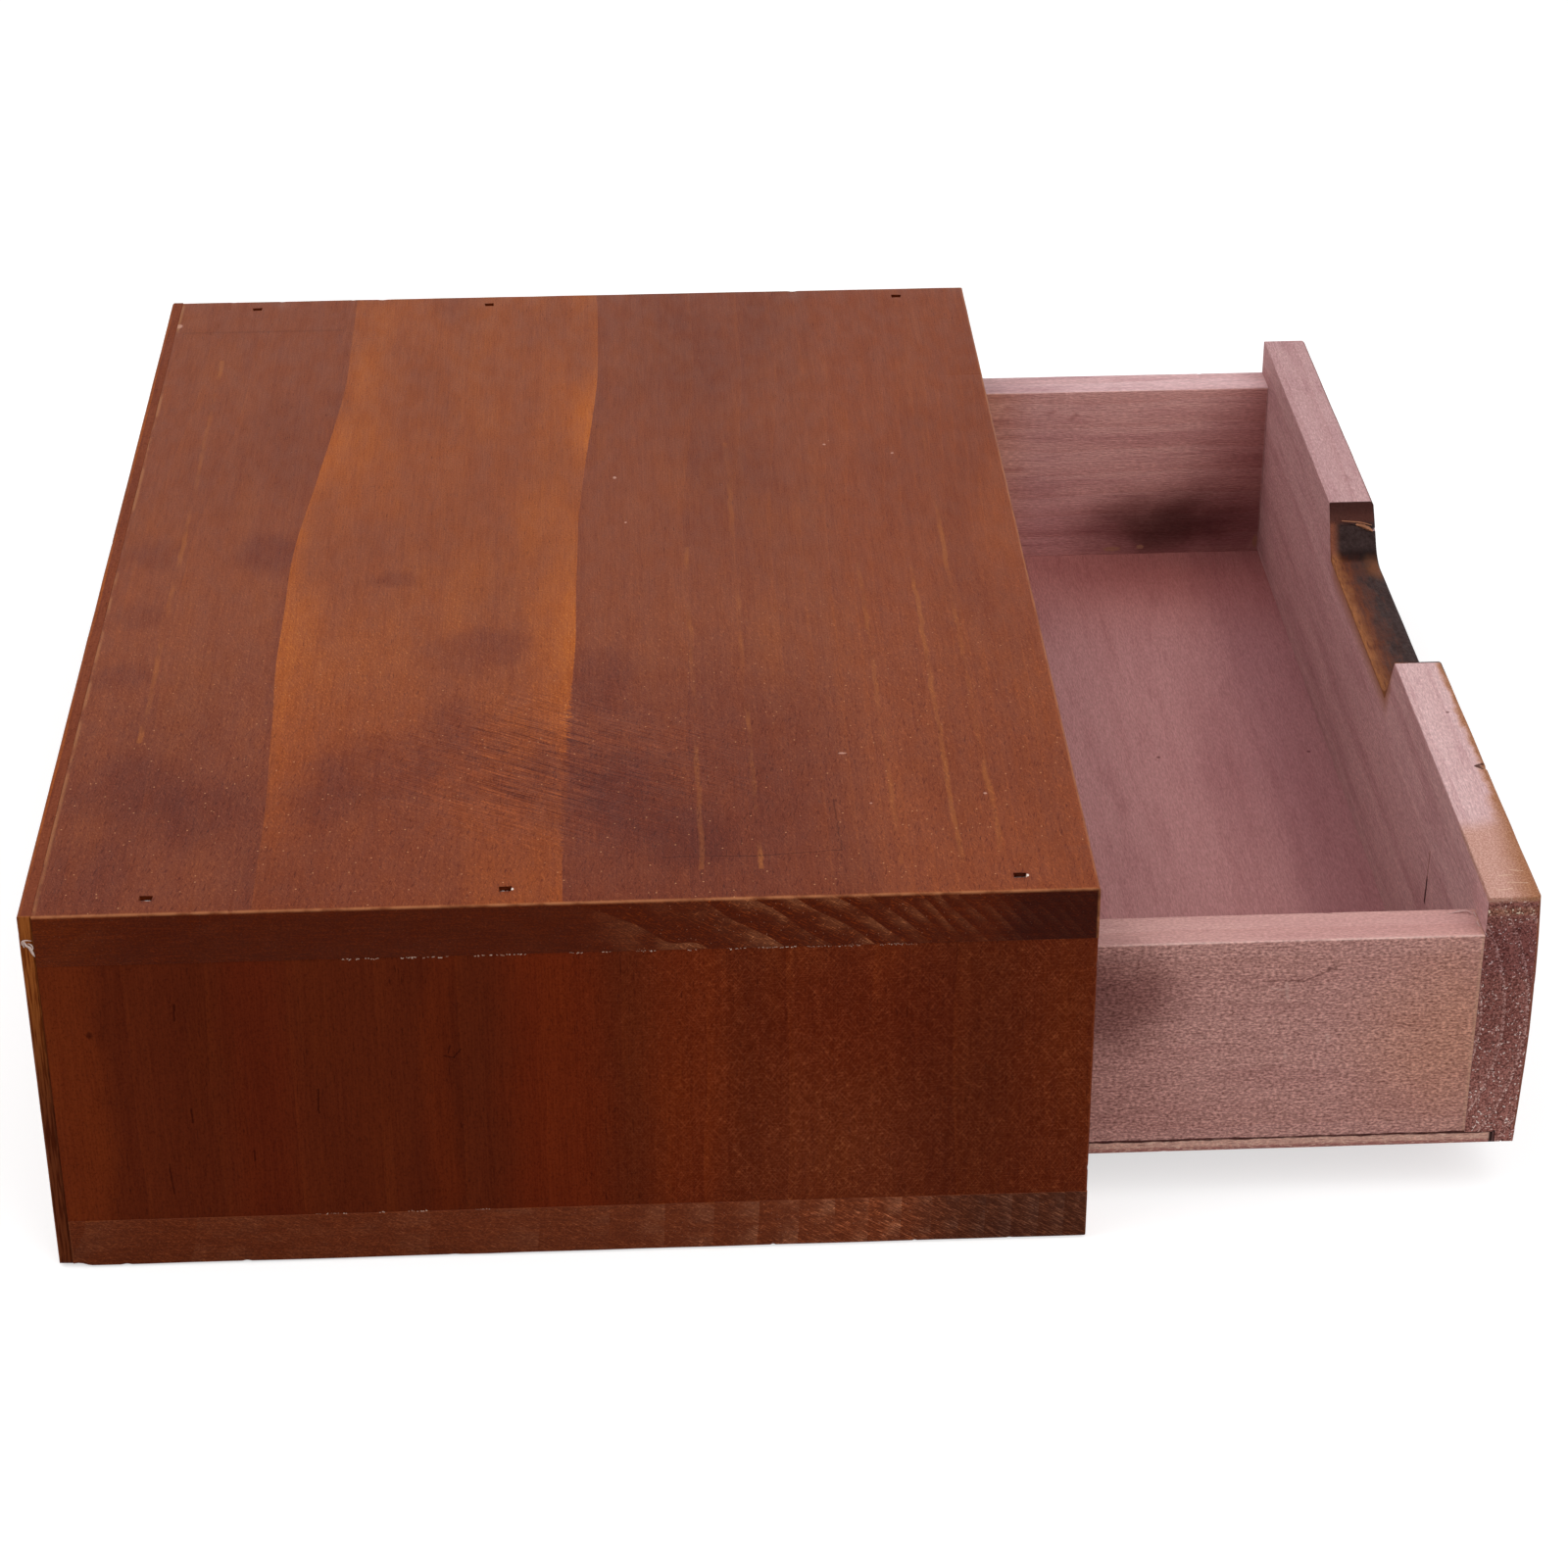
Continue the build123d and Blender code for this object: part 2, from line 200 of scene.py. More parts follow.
def carve(piece, points, faces):
    """Cuts a closed shape, given in millimetres, out of a piece."""
    cutter = new_piece("cutter", points, faces)
    shell = bmesh.new()
    shell.from_mesh(cutter.data)
    bmesh.ops.recalc_face_normals(shell, faces=shell.faces)
    shell.to_mesh(cutter.data)
    shell.free()
    cut = piece.modifiers.new("cut", "BOOLEAN")
    cut.object, cut.solver, cut.operation = cutter, "EXACT", "DIFFERENCE"
    shown = piece.evaluated_get(bpy.context.evaluated_depsgraph_get())
    carved = bpy.data.meshes.new_from_object(shown)
    piece.modifiers.clear()
    piece.data = carved
    carved.name = piece.name
    bpy.data.meshes.remove(cutter.data)


def drill_row(piece, node, out, seed):
    """Cuts the holes of a row of brads, whose heads look along out: a shank, a head and a torn mouth."""
    pick = random.Random(seed)
    n = [abs(c) for c in out].index(1)
    u, v = (n + 1) % 3, (n + 2) % 3
    points, faces = [], []
    for low, high in solids_of(node):
        face, tip = (high[n], low[n]) if out[n] > 0 else (low[n], high[n])
        middle, half = (low + high) / 2, (high - low) / 2
        short, long = (u, v) if half[u] < half[v] else (v, u)
        shank = Vector(half)
        shank[short], shank[long] = BRAD_SHANK[0] / 2, BRAD_SHANK[1] / 2
        neck = face - out[n] * HEAD_THICKNESS
        stations = (
            (tip, shank, SHANK_ROOM, 0.0),
            (neck, shank, SHANK_ROOM, 0.0),
            (neck, half, HEAD_ROOM, 0.0),
            (face, half, HEAD_ROOM, 0.0),
            (face + out[n] * MOUTH, half, MOUTH_ROOM, MOUTH_TEAR),
        )
        first = len(points)
        for height, size, grow, tear in stations:
            for a, b in ((-1, -1), (1, -1), (1, 1), (-1, 1)):
                spot = Vector(middle)
                spot[n] = height
                spot[u] += a * size[u] * grow + pick.uniform(-tear, tear)
                spot[v] += b * size[v] * grow + pick.uniform(-tear, tear)
                points.append(spot)
        for ring in range(len(stations) - 1):
            for side in range(4):
                a, b = first + ring * 4 + side, first + ring * 4 + (side + 1) % 4
                faces.append([a, b, b + 4, a + 4])
        last = len(points) - 4
        faces += [[first + 3, first + 2, first + 1, first], [last, last + 1, last + 2, last + 3]]
    carve(piece, points, faces)


def drill(piece, seed, **brads):
    """Cuts the holes for rows of brads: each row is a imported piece, and the way that its heads look."""
    for step, (node, out) in enumerate(brads.items()):
        drill_row(piece, node, out, seed + step)


def put(piece, body, material, node=None):
    """Gives a finished piece its material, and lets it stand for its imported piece, if it has one."""
    piece.data.materials.append(material)
    piece.data.shade_smooth()
    piece.data.set_sharp_from_angle(angle=CREASE)
    if node:
        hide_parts(node)
    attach(piece, body)


class Finish:
    """The nodes of one finish, built up coat by coat. Its lengths are millimetres on the object."""

    def __init__(self, name, order="xyz"):
        """order names the axes along the grain, across the face and through the thickness."""
        self.material = bpy.data.materials.new(name)
        self.material.use_nodes = True
        self.tree = self.material.node_tree
        self.shader = self.tree.nodes["Principled BSDF"]
        coords = self.node("TexCoord")
        self.place = self.vector("MULTIPLY", coords.outputs["Object"], (1 / MM,) * 3)
        parts = self.split(self.place)
        self.along, self.across, self.through = [parts[AXES.index(letter)] for letter in order]
        self.grain = self.node("CombineXYZ", self.along, self.across, self.through).outputs[0]
        self.facing = self.split(coords.outputs["Normal"])
        self.end = self.faces_along(order[0])
        self.colour = None
        self.height = 0.0
        self.part = None                           # how far each place is from one ring line to the next
        self.seed = 0.0

    def faces_along(self, letter):
        """1 on the faces that look up or down one axis."""
        return self.between(self.maths("ABSOLUTE", self.facing[AXES.index(letter)]), 0.55, 0.8)

    def upward(self):
        """1 on the faces that look up."""
        return self.between(self.facing[2], 0.5, 0.9)

    def node(self, kind, *inputs, **settings):
        """A node with its settings, its first inputs given in order; None leaves one as it is."""
        made = self.tree.nodes.new("ShaderNode" + kind)
        for key, value in settings.items():
            setattr(made, key, value)
        for socket, value in zip(made.inputs, inputs):
            self.give(socket, value)
        return made

    def give(self, socket, value):
        if isinstance(value, bpy.types.NodeSocket):
            self.tree.links.new(value, socket)
        elif value is not None:
            socket.default_value = value

    def maths(self, operation, *values):
        return self.node("Math", *values, operation=operation).outputs[0]

    def vector(self, operation, *values):
        made = self.node("VectorMath", *values, operation=operation)
        return made.outputs["Value" if operation in ("LENGTH", "DOT_PRODUCT", "DISTANCE") else "Vector"]

    def split(self, value):
        return list(self.node("SeparateXYZ", value).outputs)

    def chain(self, operation, values):
        made = values[0]
        for value in values[1:]:
            made = self.maths(operation, made, value)
        return made

    def product(self, *values):
        return self.chain("MULTIPLY", values)

    def total(self, *values):
        return self.chain("ADD", values)

    def any_of(self, *masks):
        return self.chain("MAXIMUM", masks)

    def between(self, value, low, high, first=0.0, last=1.0):
        """A soft step from first, at low, to last, at high."""
        return self.node("MapRange", value, low, high, first, last,
                         interpolation_type="SMOOTHSTEP").outputs[0]

    def cloud(self, size, detail=2.0, seed=0.0, place=None):
        """Noise whose patches have the given sizes along, across and through the grain."""
        scaled = self.vector("MULTIPLY_ADD", place or self.grain, tuple(1 / s for s in size),
                             (seed * 1.7, seed * 2.9 + 5, seed * 0.7 - 3))
        made = self.node("TexNoise", scaled)
        made.inputs["Scale"].default_value = 1.0
        made.inputs["Detail"].default_value = detail
        return made

    def speckle(self, size, detail=2.0, seed=0.0, place=None):
        return self.cloud(size, detail, seed, place).outputs[0]

    def mottled(self, low, high, size, detail=2.0, seed=0.0, place=None, first=0.0, last=1.0):
        """Patches of noise with soft outlines: first where the noise is under low, last over high."""
        return self.between(self.speckle(size, detail, seed, place), low, high, first, last)

    def wavy(self, reach, size, seed=0.0):
        """The grain coordinates pushed about by up to reach, for marks with uneven outlines."""
        push = self.vector("SUBTRACT", self.cloud((size,) * 3, 2.0, seed).outputs[1], (0.5, 0.5, 0.5))
        return self.vector("MULTIPLY_ADD", push, (2 * reach,) * 3, self.grain)

    def turned(self, degrees, about="Z_AXIS"):
        """The grain coordinates turned within the face, for marks that run across the grain."""
        made = self.node("VectorRotate", self.grain, rotation_type=about)
        made.inputs["Angle"].default_value = math.radians(degrees)
        return made.outputs[0]

    def mix(self, amount, first, second, blend="MIX"):
        made = self.node("Mix", amount, data_type="RGBA", blend_type=blend)
        self.give(made.inputs[6], (*first, 1.0) if isinstance(first, tuple) else first)
        self.give(made.inputs[7], (*second, 1.0) if isinstance(second, tuple) else second)
        return made.outputs[2]

    def toned(self, colour, tone, *masks):
        """A colour multiplied by a tone where all the masks say."""
        return self.mix(self.product(*masks), colour, tone, "MULTIPLY")

    def shade(self, tone, *masks):
        """Multiplies the finish by a tone where all the masks say."""
        self.colour = self.toned(self.colour, tone, *masks)

    def tint(self, colour, *masks):
        """Lays a colour over the finish where all the masks say."""
        self.colour = self.mix(self.product(*masks), self.colour, colour)

    def lift(self, height, *masks):
        """Raises the surface by a height in millimetres where all the masks say."""
        self.height = self.maths("MULTIPLY_ADD", self.product(*masks), height, self.height)

    def spot(self, centre, reach, soft=0.6, place=None):
        """A soft-edged spot: 1 in its middle and 0 past its reach, in grain coordinates."""
        away = self.vector("SUBTRACT", place or self.grain, centre)
        away = self.vector("MULTIPLY", away, tuple(1 / r for r in reach))
        return self.between(self.vector("LENGTH", away), 1.0, 1.0 - soft)

    def stroke(self, start, end, width, place=None):
        """A thin line from start to end, in grain coordinates."""
        run = Vector(end) - Vector(start)
        off = self.vector("SUBTRACT", place or self.grain, start)
        part = self.maths("MULTIPLY", self.vector("DOT_PRODUCT", off, tuple(run)), 1 / run.length_squared)
        part.node.use_clamp = True
        nearest = self.node("VectorMath", tuple(run), None, None, part, operation="SCALE").outputs[0]
        return self.between(self.vector("DISTANCE", off, nearest), width, width * 0.35)

    def edge(self, low, high):
        """How far each place on a board is from the board's nearest edge."""
        middle, half = (low + high) / 2, (high - low) / 2
        off = self.vector("ABSOLUTE", self.vector("SUBTRACT", self.place, tuple(middle)))
        x, y, z = self.split(self.vector("SUBTRACT", tuple(half), off))
        wide = self.maths("MINIMUM", self.maths("MAXIMUM", x, y), z)
        return self.maths("MAXIMUM", self.maths("MINIMUM", x, y), wide)

    def specks(self, cell, size, share, seed=0.0):
        """Round specks in a share of the cells of a loose grid."""
        moved = self.vector("MULTIPLY_ADD", self.place, (1 / cell,) * 3, (seed, seed * 2, seed * 3))
        cells = self.node("TexVoronoi", moved)
        cells.inputs["Scale"].default_value = 1.0
        chance = self.split(cells.outputs["Color"])[0]
        near = self.between(cells.outputs["Distance"], size / cell, size / cell * 0.5)
        return self.product(near, self.maths("LESS_THAN", chance, share))

    def done(self, rough, shine):
        """Wires the coats to the shader."""
        self.give(self.shader.inputs["Base Color"], self.colour)
        self.give(self.shader.inputs["Roughness"], rough)
        self.shader.inputs["Specular IOR Level"].default_value = shine
        bump = self.node("Bump")
        bump.inputs["Distance"].default_value = MM
        self.give(bump.inputs["Height"], self.height)
        self.give(self.shader.inputs["Normal"], bump.outputs[0])
        return self.material


def growth(finish, pith, pace, sway, seed):
    """Growth rings round a pith beside the board: the count of rings out from one of them.
    pace is (the radius of that ring, rings per mm there, more rings per mm squared)."""
    moved = finish.maths("MULTIPLY_ADD", finish.speckle((45, 30, 60), 1.0, seed), sway, -sway / 2)
    side = finish.total(finish.maths("SUBTRACT", finish.across, pith[0]), moved)
    deep = finish.maths("SUBTRACT", finish.through, pith[1])
    radius = finish.vector("LENGTH", finish.node("CombineXYZ", side, deep, 0.0).outputs[0])
    past = finish.maths("SUBTRACT", radius, pace[0])
    return finish.maths("MULTIPLY", past, finish.maths("MULTIPLY_ADD", past, pace[2], pace[1]))


def stain(wood, count, seed, early, late, contrast=1.0):
    """A thin stain on softwood: the early wood of each ring drinks it and goes dark, and the late
    wood stays a lighter orange up to the sharp line where the next ring starts."""
    part = wood.maths("FRACT", count)
    seen = wood.mottled(0.32, 0.62, (70, 16, 16), 1.0, seed + 1, first=0.3, last=1.0)
    seen = wood.product(seen, contrast)
    wood.colour = wood.mix(wood.product(wood.maths("POWER", part, 3.0), seen), early, late)
    wood.shade((1.14, 1.16, 1.0), wood.between(part, 0.88, 0.99), seen)
    wood.shade((0.9, 0.86, 0.9), wood.between(part, 0.1, 0.0), seen)
    # slow changes in how much stain the wood took
    wood.shade((0.88, 0.86, 0.9), wood.mottled(0.45, 0.7, (80, 26, 26), 2.0, seed + 2))
    wood.shade((1.08, 1.1, 1.0), wood.mottled(0.48, 0.7, (46, 12, 12), 2.0, seed + 3))
    # fibres, and pores that come in patches
    fibre = wood.speckle((9, 0.35, 0.35), 3.0, seed + 4)
    wood.shade((1.14, 1.18, 1.16), wood.between(fibre, 0.36, 0.64))
    streak = wood.speckle((34, 1.1, 1.1), 2.0, seed + 5)
    wood.shade((0.93, 0.9, 0.93), wood.between(streak, 0.42, 0.68))
    patches = wood.mottled(0.44, 0.6, (36, 14, 14), 1.0, seed + 6)
    pores = wood.mottled(0.74, 0.8, (2.8, 0.24, 0.3), 0.0, seed + 7)
    wood.shade((0.5, 0.42, 0.45), pores, patches, 0.8)
    gritty = wood.speckle((0.6, 0.42, 0.42), 2.0, seed + 8)
    wood.shade((1.16, 1.2, 1.2), wood.between(gritty, 0.38, 0.62))
    wood.shade((0.8, 0.76, 0.78), wood.between(gritty, 0.4, 0.3))
    wood.shade((1.6, 1.9, 2.1), wood.specks(1.3, 0.17, 0.22, seed), 0.8)
    wood.lift(0.03, fibre)
    wood.lift(-0.05, pores)
    wood.lift(0.03, gritty)
    wood.lift(0.012, part)
    wood.part, wood.seed = part, seed


def end_grain(wood, dark, light, bands):
    """Sawn ends soak up the most stain. The late wood shows as bands, and sanding left light lines."""
    clouded = wood.mottled(0.38, 0.62, (9, 9, 5), 2.0, wood.seed + 9, first=0.14, last=0.95)
    ring = wood.product(wood.between(wood.part, 0.25, 0.9), bands, clouded)
    ends = wood.mix(ring, dark, light)
    gritty = wood.speckle((0.4, 0.5, 0.3), 3.0, wood.seed + 10)
    ends = wood.toned(ends, (1.45, 1.5, 1.4), wood.between(gritty, 0.4, 0.66))
    level_lines = wood.speckle((3.0, 7.0, 0.28), 2.0, wood.seed + 14)
    ends = wood.toned(ends, (1.25, 1.25, 1.15), wood.between(level_lines, 0.45, 0.65))
    for turn, reach in ((-30, 0.58), (52, 0.64)):
        lines = wood.speckle((3.0, 2.2, 0.2), 1.0, wood.seed + turn, wood.turned(turn, "X_AXIS"))
        lines = wood.product(wood.between(lines, reach, reach + 0.12), wood.total(0.2, bands))
        ends = wood.toned(ends, (2.2, 2.6, 2.7), lines, 0.9)
    chains = wood.product(wood.specks(0.9, 0.15, 0.4, wood.seed + 11), wood.total(0.15, bands))
    ends = wood.mix(wood.product(chains, 0.6), ends, (0.4, 0.17, 0.1))
    wood.colour = wood.mix(wood.end, wood.colour, ends)
    wood.lift(0.05, gritty, wood.end)


def edge_wear_and_highlight(wood, low, high, joints, colour, reach, strength):
    """Outer edges, where sanding has thinned the stain to a light line, and where that line is also a
    painted highlight of the rounded edge catching the light. joints names the faces that lie in
    joints, such as "-z+x", and their edges stay as they are."""
    low, high = low.copy(), high.copy()
    for side, axis in zip(joints[::2], joints[1::2]):
        if side == "+":
            high[AXES.index(axis)] += HIDDEN
        else:
            low[AXES.index(axis)] -= HIDDEN
    broken = wood.mottled(0.32, 0.6, (9, 4, 4), 3.0, wood.seed + 12, first=0.35, last=1.0)
    wood.tint(colour, wood.between(wood.edge(low, high), reach, reach * 0.2), broken, strength)


def polish(wood, shine):
    """The last coat: pale dust specks, and a satin sheen that is duller in places."""
    wood.tint((0.62, 0.34, 0.22), wood.specks(5.0, 0.17, 0.12, wood.seed), 0.7)
    rough = wood.mottled(0.3, 0.7, (9, 4, 4), 2.0, wood.seed + 13, first=0.38, last=0.5)
    return wood.done(rough, shine)


OUTER_EASE = 0.8                                   # sanded outer edges of the case
STAIN_DARK = (0.172, 0.042, 0.02)
STAIN_LIGHT = (0.3, 0.072, 0.0155)
BOTTOM_END = (0.104, 0.0205, 0.0075)
BOTTOM_END_BANDS = (0.17, 0.052, 0.025)
BOTTOM_EDGE = (0.28, 0.09, 0.035)
SIDE_SHINE = 0.012

low, high = node_box("bottom_board")
rim = {"-x-z": OUTER_EASE, "+x-z": OUTER_EASE, "-y-z": OUTER_EASE}
bottom = board("bottom_board", low, high, rim, nick_count=8, seed=11, nicks=[("-x-z", 106.0, 3.0, 1.4)])
drill(bottom, 1, bottom_left_brads=DOWN, bottom_right_brads=DOWN, back_panel_brads=REAR)
wood = Finish("stained_bottom_board")
rings = growth(wood, pith=(120, 14), pace=(190.0, 0.15, 0.0006), sway=2.0, seed=2.0)
stain(wood, rings, 2.0, STAIN_DARK, STAIN_LIGHT, contrast=0.8)
bands = wood.product(wood.between(wood.across, 10, -75, 0.25, 0.75),
                     wood.between(wood.across, -92, -62, 0.35, 1.0))
end_grain(wood, BOTTOM_END, BOTTOM_END_BANDS, bands)
scored = wood.speckle((3.0, 2.6, 0.22), 1.0, 61.0, wood.turned(-32, "X_AXIS"))
scored = wood.product(wood.end, wood.between(scored, 0.53, 0.63), wood.between(wood.across, -35, -70))
wood.shade((2.0, 2.2, 2.2), scored)
wood.shade((1.15, 1.26, 1.4), wood.end, wood.between(wood.across, 60, 0))
wood.shade((0.5, 0.62, 0.8), wood.end, wood.between(wood.across, -62, -90))
edge_wear_and_highlight(wood, low, high, "+z", BOTTOM_EDGE, reach=0.5, strength=0.3)
put(bottom, "case", polish(wood, SIDE_SHINE), "bottom_board")


# Side panels
# Two boards of the same wood with their grain upright, glued and bradded between the top and the
# bottom board. Beads of glue have dried white in the left panel's joints, and it took the stain
# in soft upright bands.
PANEL_RECESS = 0.1                                 # the panels sit this much behind the boards' ends
PANEL_DARK = (0.094, 0.0138, 0.004)
PANEL_LIGHT = (0.13, 0.021, 0.0056)
RIGHT_PANEL_DARK = (0.13, 0.025, 0.008)
RIGHT_PANEL_LIGHT = (0.2, 0.042, 0.01)
PANEL_EDGE = (0.3, 0.09, 0.035)
PANEL_BANDS = (                                    # middle and half width across the panel, and tone
    (102, 9, (1.4, 1.45, 1.2)), (64, 10, (1.1, 0.98, 0.95)), (26, 5, (1.25, 1.2, 1.0)),
    (2, 15, (1.25, 1.05, 0.9)), (-25, 12, (1.25, 1.15, 1.0)), (-56, 24, (1.15, 1.15, 1.1)),
    (-87, 10, (0.96, 1.0, 1.0)),
)
PANEL_MARKS = (                                    # dark strokes: height and place of both ends
    ((66, 80), (62, 80.3)), ((40, 78.7), (36.5, 78.6)), ((44, 52), (38, 52.3)), ((26, 84.4), (18.5, 84)),
    ((29, 66.3), (26.5, 66.4)), ((53, 22), (51, 23.5)), ((51, 23.5), (51.5, 25.5)),
    ((52.4, 24.6), (54, 24.2)),
)
GLUE_RUNS = (                                      # height of the joint, first and last place, size
    (75.95, 45.0, 37.5, 1.0), (75.9, 33.0, 23.0, 1.1), (75.95, 18.0, 7.5, 1.0), (75.95, -1.3, -3.8, 0.7),
    (75.95, -8.0, -10.6, 0.8), (75.95, -15.0, -19.0, 0.7), (75.95, -25.6, -27.5, 0.7),
    (75.95, -33.7, -37.5, 0.7), (75.95, -40.0, -47.5, 0.6), (75.95, -50.0, -61.0, 0.5),
    (75.95, -65.0, -72.5, 0.4),
    (12.1, 55.0, 47.5, 0.6), (12.1, 41.0, 40.0, 0.6), (12.1, 35.0, 30.6, 0.6), (12.1, 20.6, 17.5, 0.5),
)
GLUE_THICKNESS = 0.17


def glue_beads(name, x, runs, seed):
    """Squashed crumbs of dried glue along the joints of a panel whose outer face is at x."""
    pick = random.Random(seed)
    piece = new_piece(name, [], [])
    shell = bmesh.new()
    for height, first, last, size in runs:
        place = first
        while place > last:
            wide, tall = size * pick.uniform(0.12, 0.4), size * pick.uniform(0.07, 0.19)
            middle = Vector((x, place, height - pick.uniform(-0.05, 0.3)))
            lean = Matrix.Rotation(pick.uniform(-0.7, 0.7), 4, "X")
            flat = Matrix.Diagonal((GLUE_THICKNESS / 2 * MM, wide * MM, tall * MM, 1))
            made = bmesh.ops.create_icosphere(shell, subdivisions=2, radius=1.0,
                                              matrix=Matrix.Translation(middle * MM) @ lean @ flat)["verts"]
            for vert in made:
                vert.co.y += noise.noise(vert.co / MM * 3.1 + Vector((seed, 0, 0))) * 0.22 * MM
                vert.co.z += noise.noise(vert.co / MM * 2.3) * 0.15 * MM
            place -= wide * pick.uniform(1.2, 4.5)
    shell.to_mesh(piece.data)
    shell.free()
    return piece


def crumb_finish(name, patch, dark, light, grit, rise, rough, shine, contrast=None):
    """The finish of small things on the wood: cloudy between two colours, and a little gritty."""
    finish = Finish(name)
    cloudy = finish.speckle((patch,) * 3, 2.0, 3.0)
    if contrast:
        cloudy = finish.between(cloudy, *contrast)
    finish.colour = finish.mix(cloudy, dark, light)
    finish.lift(rise, finish.speckle((grit,) * 3, 2.0, 5.0))
    return finish.done(rough, shine)


low, high = node_box("left_side_panel")
low.x += PANEL_RECESS
left_panel = board("left_side_panel", low, high, {"-x-y": OUTER_EASE}, nick_count=3, seed=5)
drill(left_panel, 4, top_left_brads=UP, bottom_left_brads=DOWN, back_panel_brads=REAR)
wood = Finish("stained_left_panel", "zyx")
rings = growth(wood, pith=(-190, -120), pace=(150.0, 0.06, 0.0), sway=4.0, seed=5.0)
stain(wood, rings, 5.0, PANEL_DARK, PANEL_LIGHT, contrast=0.35)
uneven = wood.wavy(4.0, 16.0, 6.0)
for middle, half, tone in PANEL_BANDS:
    wood.shade(tone, wood.spot((44, middle, low.x), (500, half, 500), 0.75, uneven))
wood.shade((1.05, 1.2, 1.35), wood.spot((22, -58, low.x), (26, 30, 99), 0.9, uneven))
wood.shade((0.96, 0.86, 0.85), wood.spot((60, -60, low.x), (22, 40, 99), 0.8, uneven))
front_part = wood.between(wood.across, 15, -45)
for turn, seed in ((33, 1), (-38, 2), (84, 3)):
    lines = wood.speckle((2.4, 0.22, 3.0), 1.0, seed, wood.turned(turn))
    lines = wood.product(wood.between(lines, 0.54, 0.68), front_part)
    wood.shade((1.45, 1.75, 1.9), lines)
    wood.lift(0.03, lines)
thin = wood.wavy(0.3, 1.5, 7.0)
for start, end in PANEL_MARKS:
    mark = wood.stroke((*start, low.x), (*end, low.x), 0.28, thin)
    wood.shade((0.35, 0.3, 0.35), mark, 0.8)
wood.shade((0.5, 0.45, 0.5), wood.spot((59, 98, low.x), (1.2, 0.8, 9)))
edge_wear_and_highlight(wood, low, high, "+x+y-z+z", PANEL_EDGE, reach=0.5, strength=0.5)
put(left_panel, "case", polish(wood, SIDE_SHINE), "left_side_panel")

dried_glue = crumb_finish("dried_glue", patch=0.7, dark=(0.24, 0.09, 0.045), light=(0.74, 0.55, 0.44),
                          grit=0.2, rise=0.03, rough=0.5, shine=0.3, contrast=(0.3, 0.7))
put(glue_beads("dried_glue_beads", low.x, GLUE_RUNS, 12), "case", dried_glue)

low, high = node_box("right_side_panel")
high.x -= PANEL_RECESS
right_panel = board("right_side_panel", low, high, {"+x-y": OUTER_EASE}, nick_count=3, seed=8)
drill(right_panel, 4, top_right_brads=UP, bottom_right_brads=DOWN, back_panel_brads=REAR)
wood = Finish("stained_right_panel", "zyx")
rings = growth(wood, pith=(-40, 260), pace=(111.0, 0.09, 0.0004), sway=5.0, seed=8.0)
stain(wood, rings, 8.0, RIGHT_PANEL_DARK, RIGHT_PANEL_LIGHT)
edge_wear_and_highlight(wood, low, high, "-x+y-z+z", PANEL_EDGE, reach=0.5, strength=0.5)
put(right_panel, "case", polish(wood, SIDE_SHINE), "right_side_panel")


# Top board
# The widest board of the case, cut near the heart of the tree: two wavy ring lines run along it,
# with orange wood between them. It is nailed down into the side panels, and is worn and stained
# with use, with sanding scratches near its left end.
WET_MARKS = (                                      # dark blots: x and y, reach along both, strength
    ((1, 71), (17, 12), 0.9), ((2, 97), (12, 8), 0.7), ((-29, 100), (10, 8), 0.6),
    ((-60, 100), (9, 7), 0.7), ((-110, 93), (20, 16), 0.8), ((-122, 76), (22, 16), 0.85),
    ((-145, 98), (22, 14), 0.6), ((-13, 42), (7, 7), 0.8), ((-50, 19), (15, 13), 0.8),
    ((-104, 40), (17, 20), 0.8), ((-88, 22), (16, 17), 0.8), ((-118, 50), (14, 14), 0.6),
    ((-108, 12), (20, 15), 0.8), ((-66, -8), (22, 13), 0.8), ((-121, -14), (30, 19), 0.85),
    ((-138, -25), (16, 15), 0.7), ((-100, -30), (75, 40), 0.5), ((130, -38), (62, 36), 0.4),
    ((20, -42), (60, 26), 0.3),
)
PALE_MARKS = (                                     # small pale chips: x and y, reach along both
    ((58, -65.6), (0.6, 0.5)), ((52, -82.6), (0.5, 0.5)), ((41, -12), (0.9, 0.6)),
    ((15, -14.6), (0.5, 0.4)), ((-103, -60.6), (0.5, 1.1)), ((-125, -65.4), (0.4, 0.4)),
    ((-122, -90), (0.5, 0.5)), ((145, 106.6), (1.8, 1.3)),
)
SCRATCH = ((-145, -21), (-145.5, -40), (-144, -58), (-125, -57.6))
ORANGE_LINES = (                                   # faint lines along the grain: both ends, strength
    ((60, -40.6), (-60, -40.6), 0.35), ((-60, -40.6), (-150, -41), 0.65), ((0, -29), (-150, -29), 0.35),
    ((-10, -70), (-150, -70), 0.3), ((-10, -82.5), (-150, -82.5), 0.4), ((60, -91), (-150, -91), 0.4),
    ((120, 92.5), (-90, 92.5), 0.45),
)
SANDING = (                                        # slant in degrees, width, seed, tone and height
    (-58, 0.3, 41, (1.35, 1.42, 1.35), 0.03), (-61, 0.36, 42, (0.68, 0.62, 0.68), -0.04),
    (47, 0.26, 43, (1.2, 1.24, 1.2), 0.03),
)
TOP_DARK = (0.187, 0.0468, 0.0205)
TOP_LIGHT = (0.31, 0.075, 0.0165)
TOP_END = (0.062, 0.0074, 0.0008)
TOP_END_BANDS = (0.135, 0.036, 0.0145)
TOP_EDGE = (0.5, 0.19, 0.08)
TOP_SHINE = 0.05

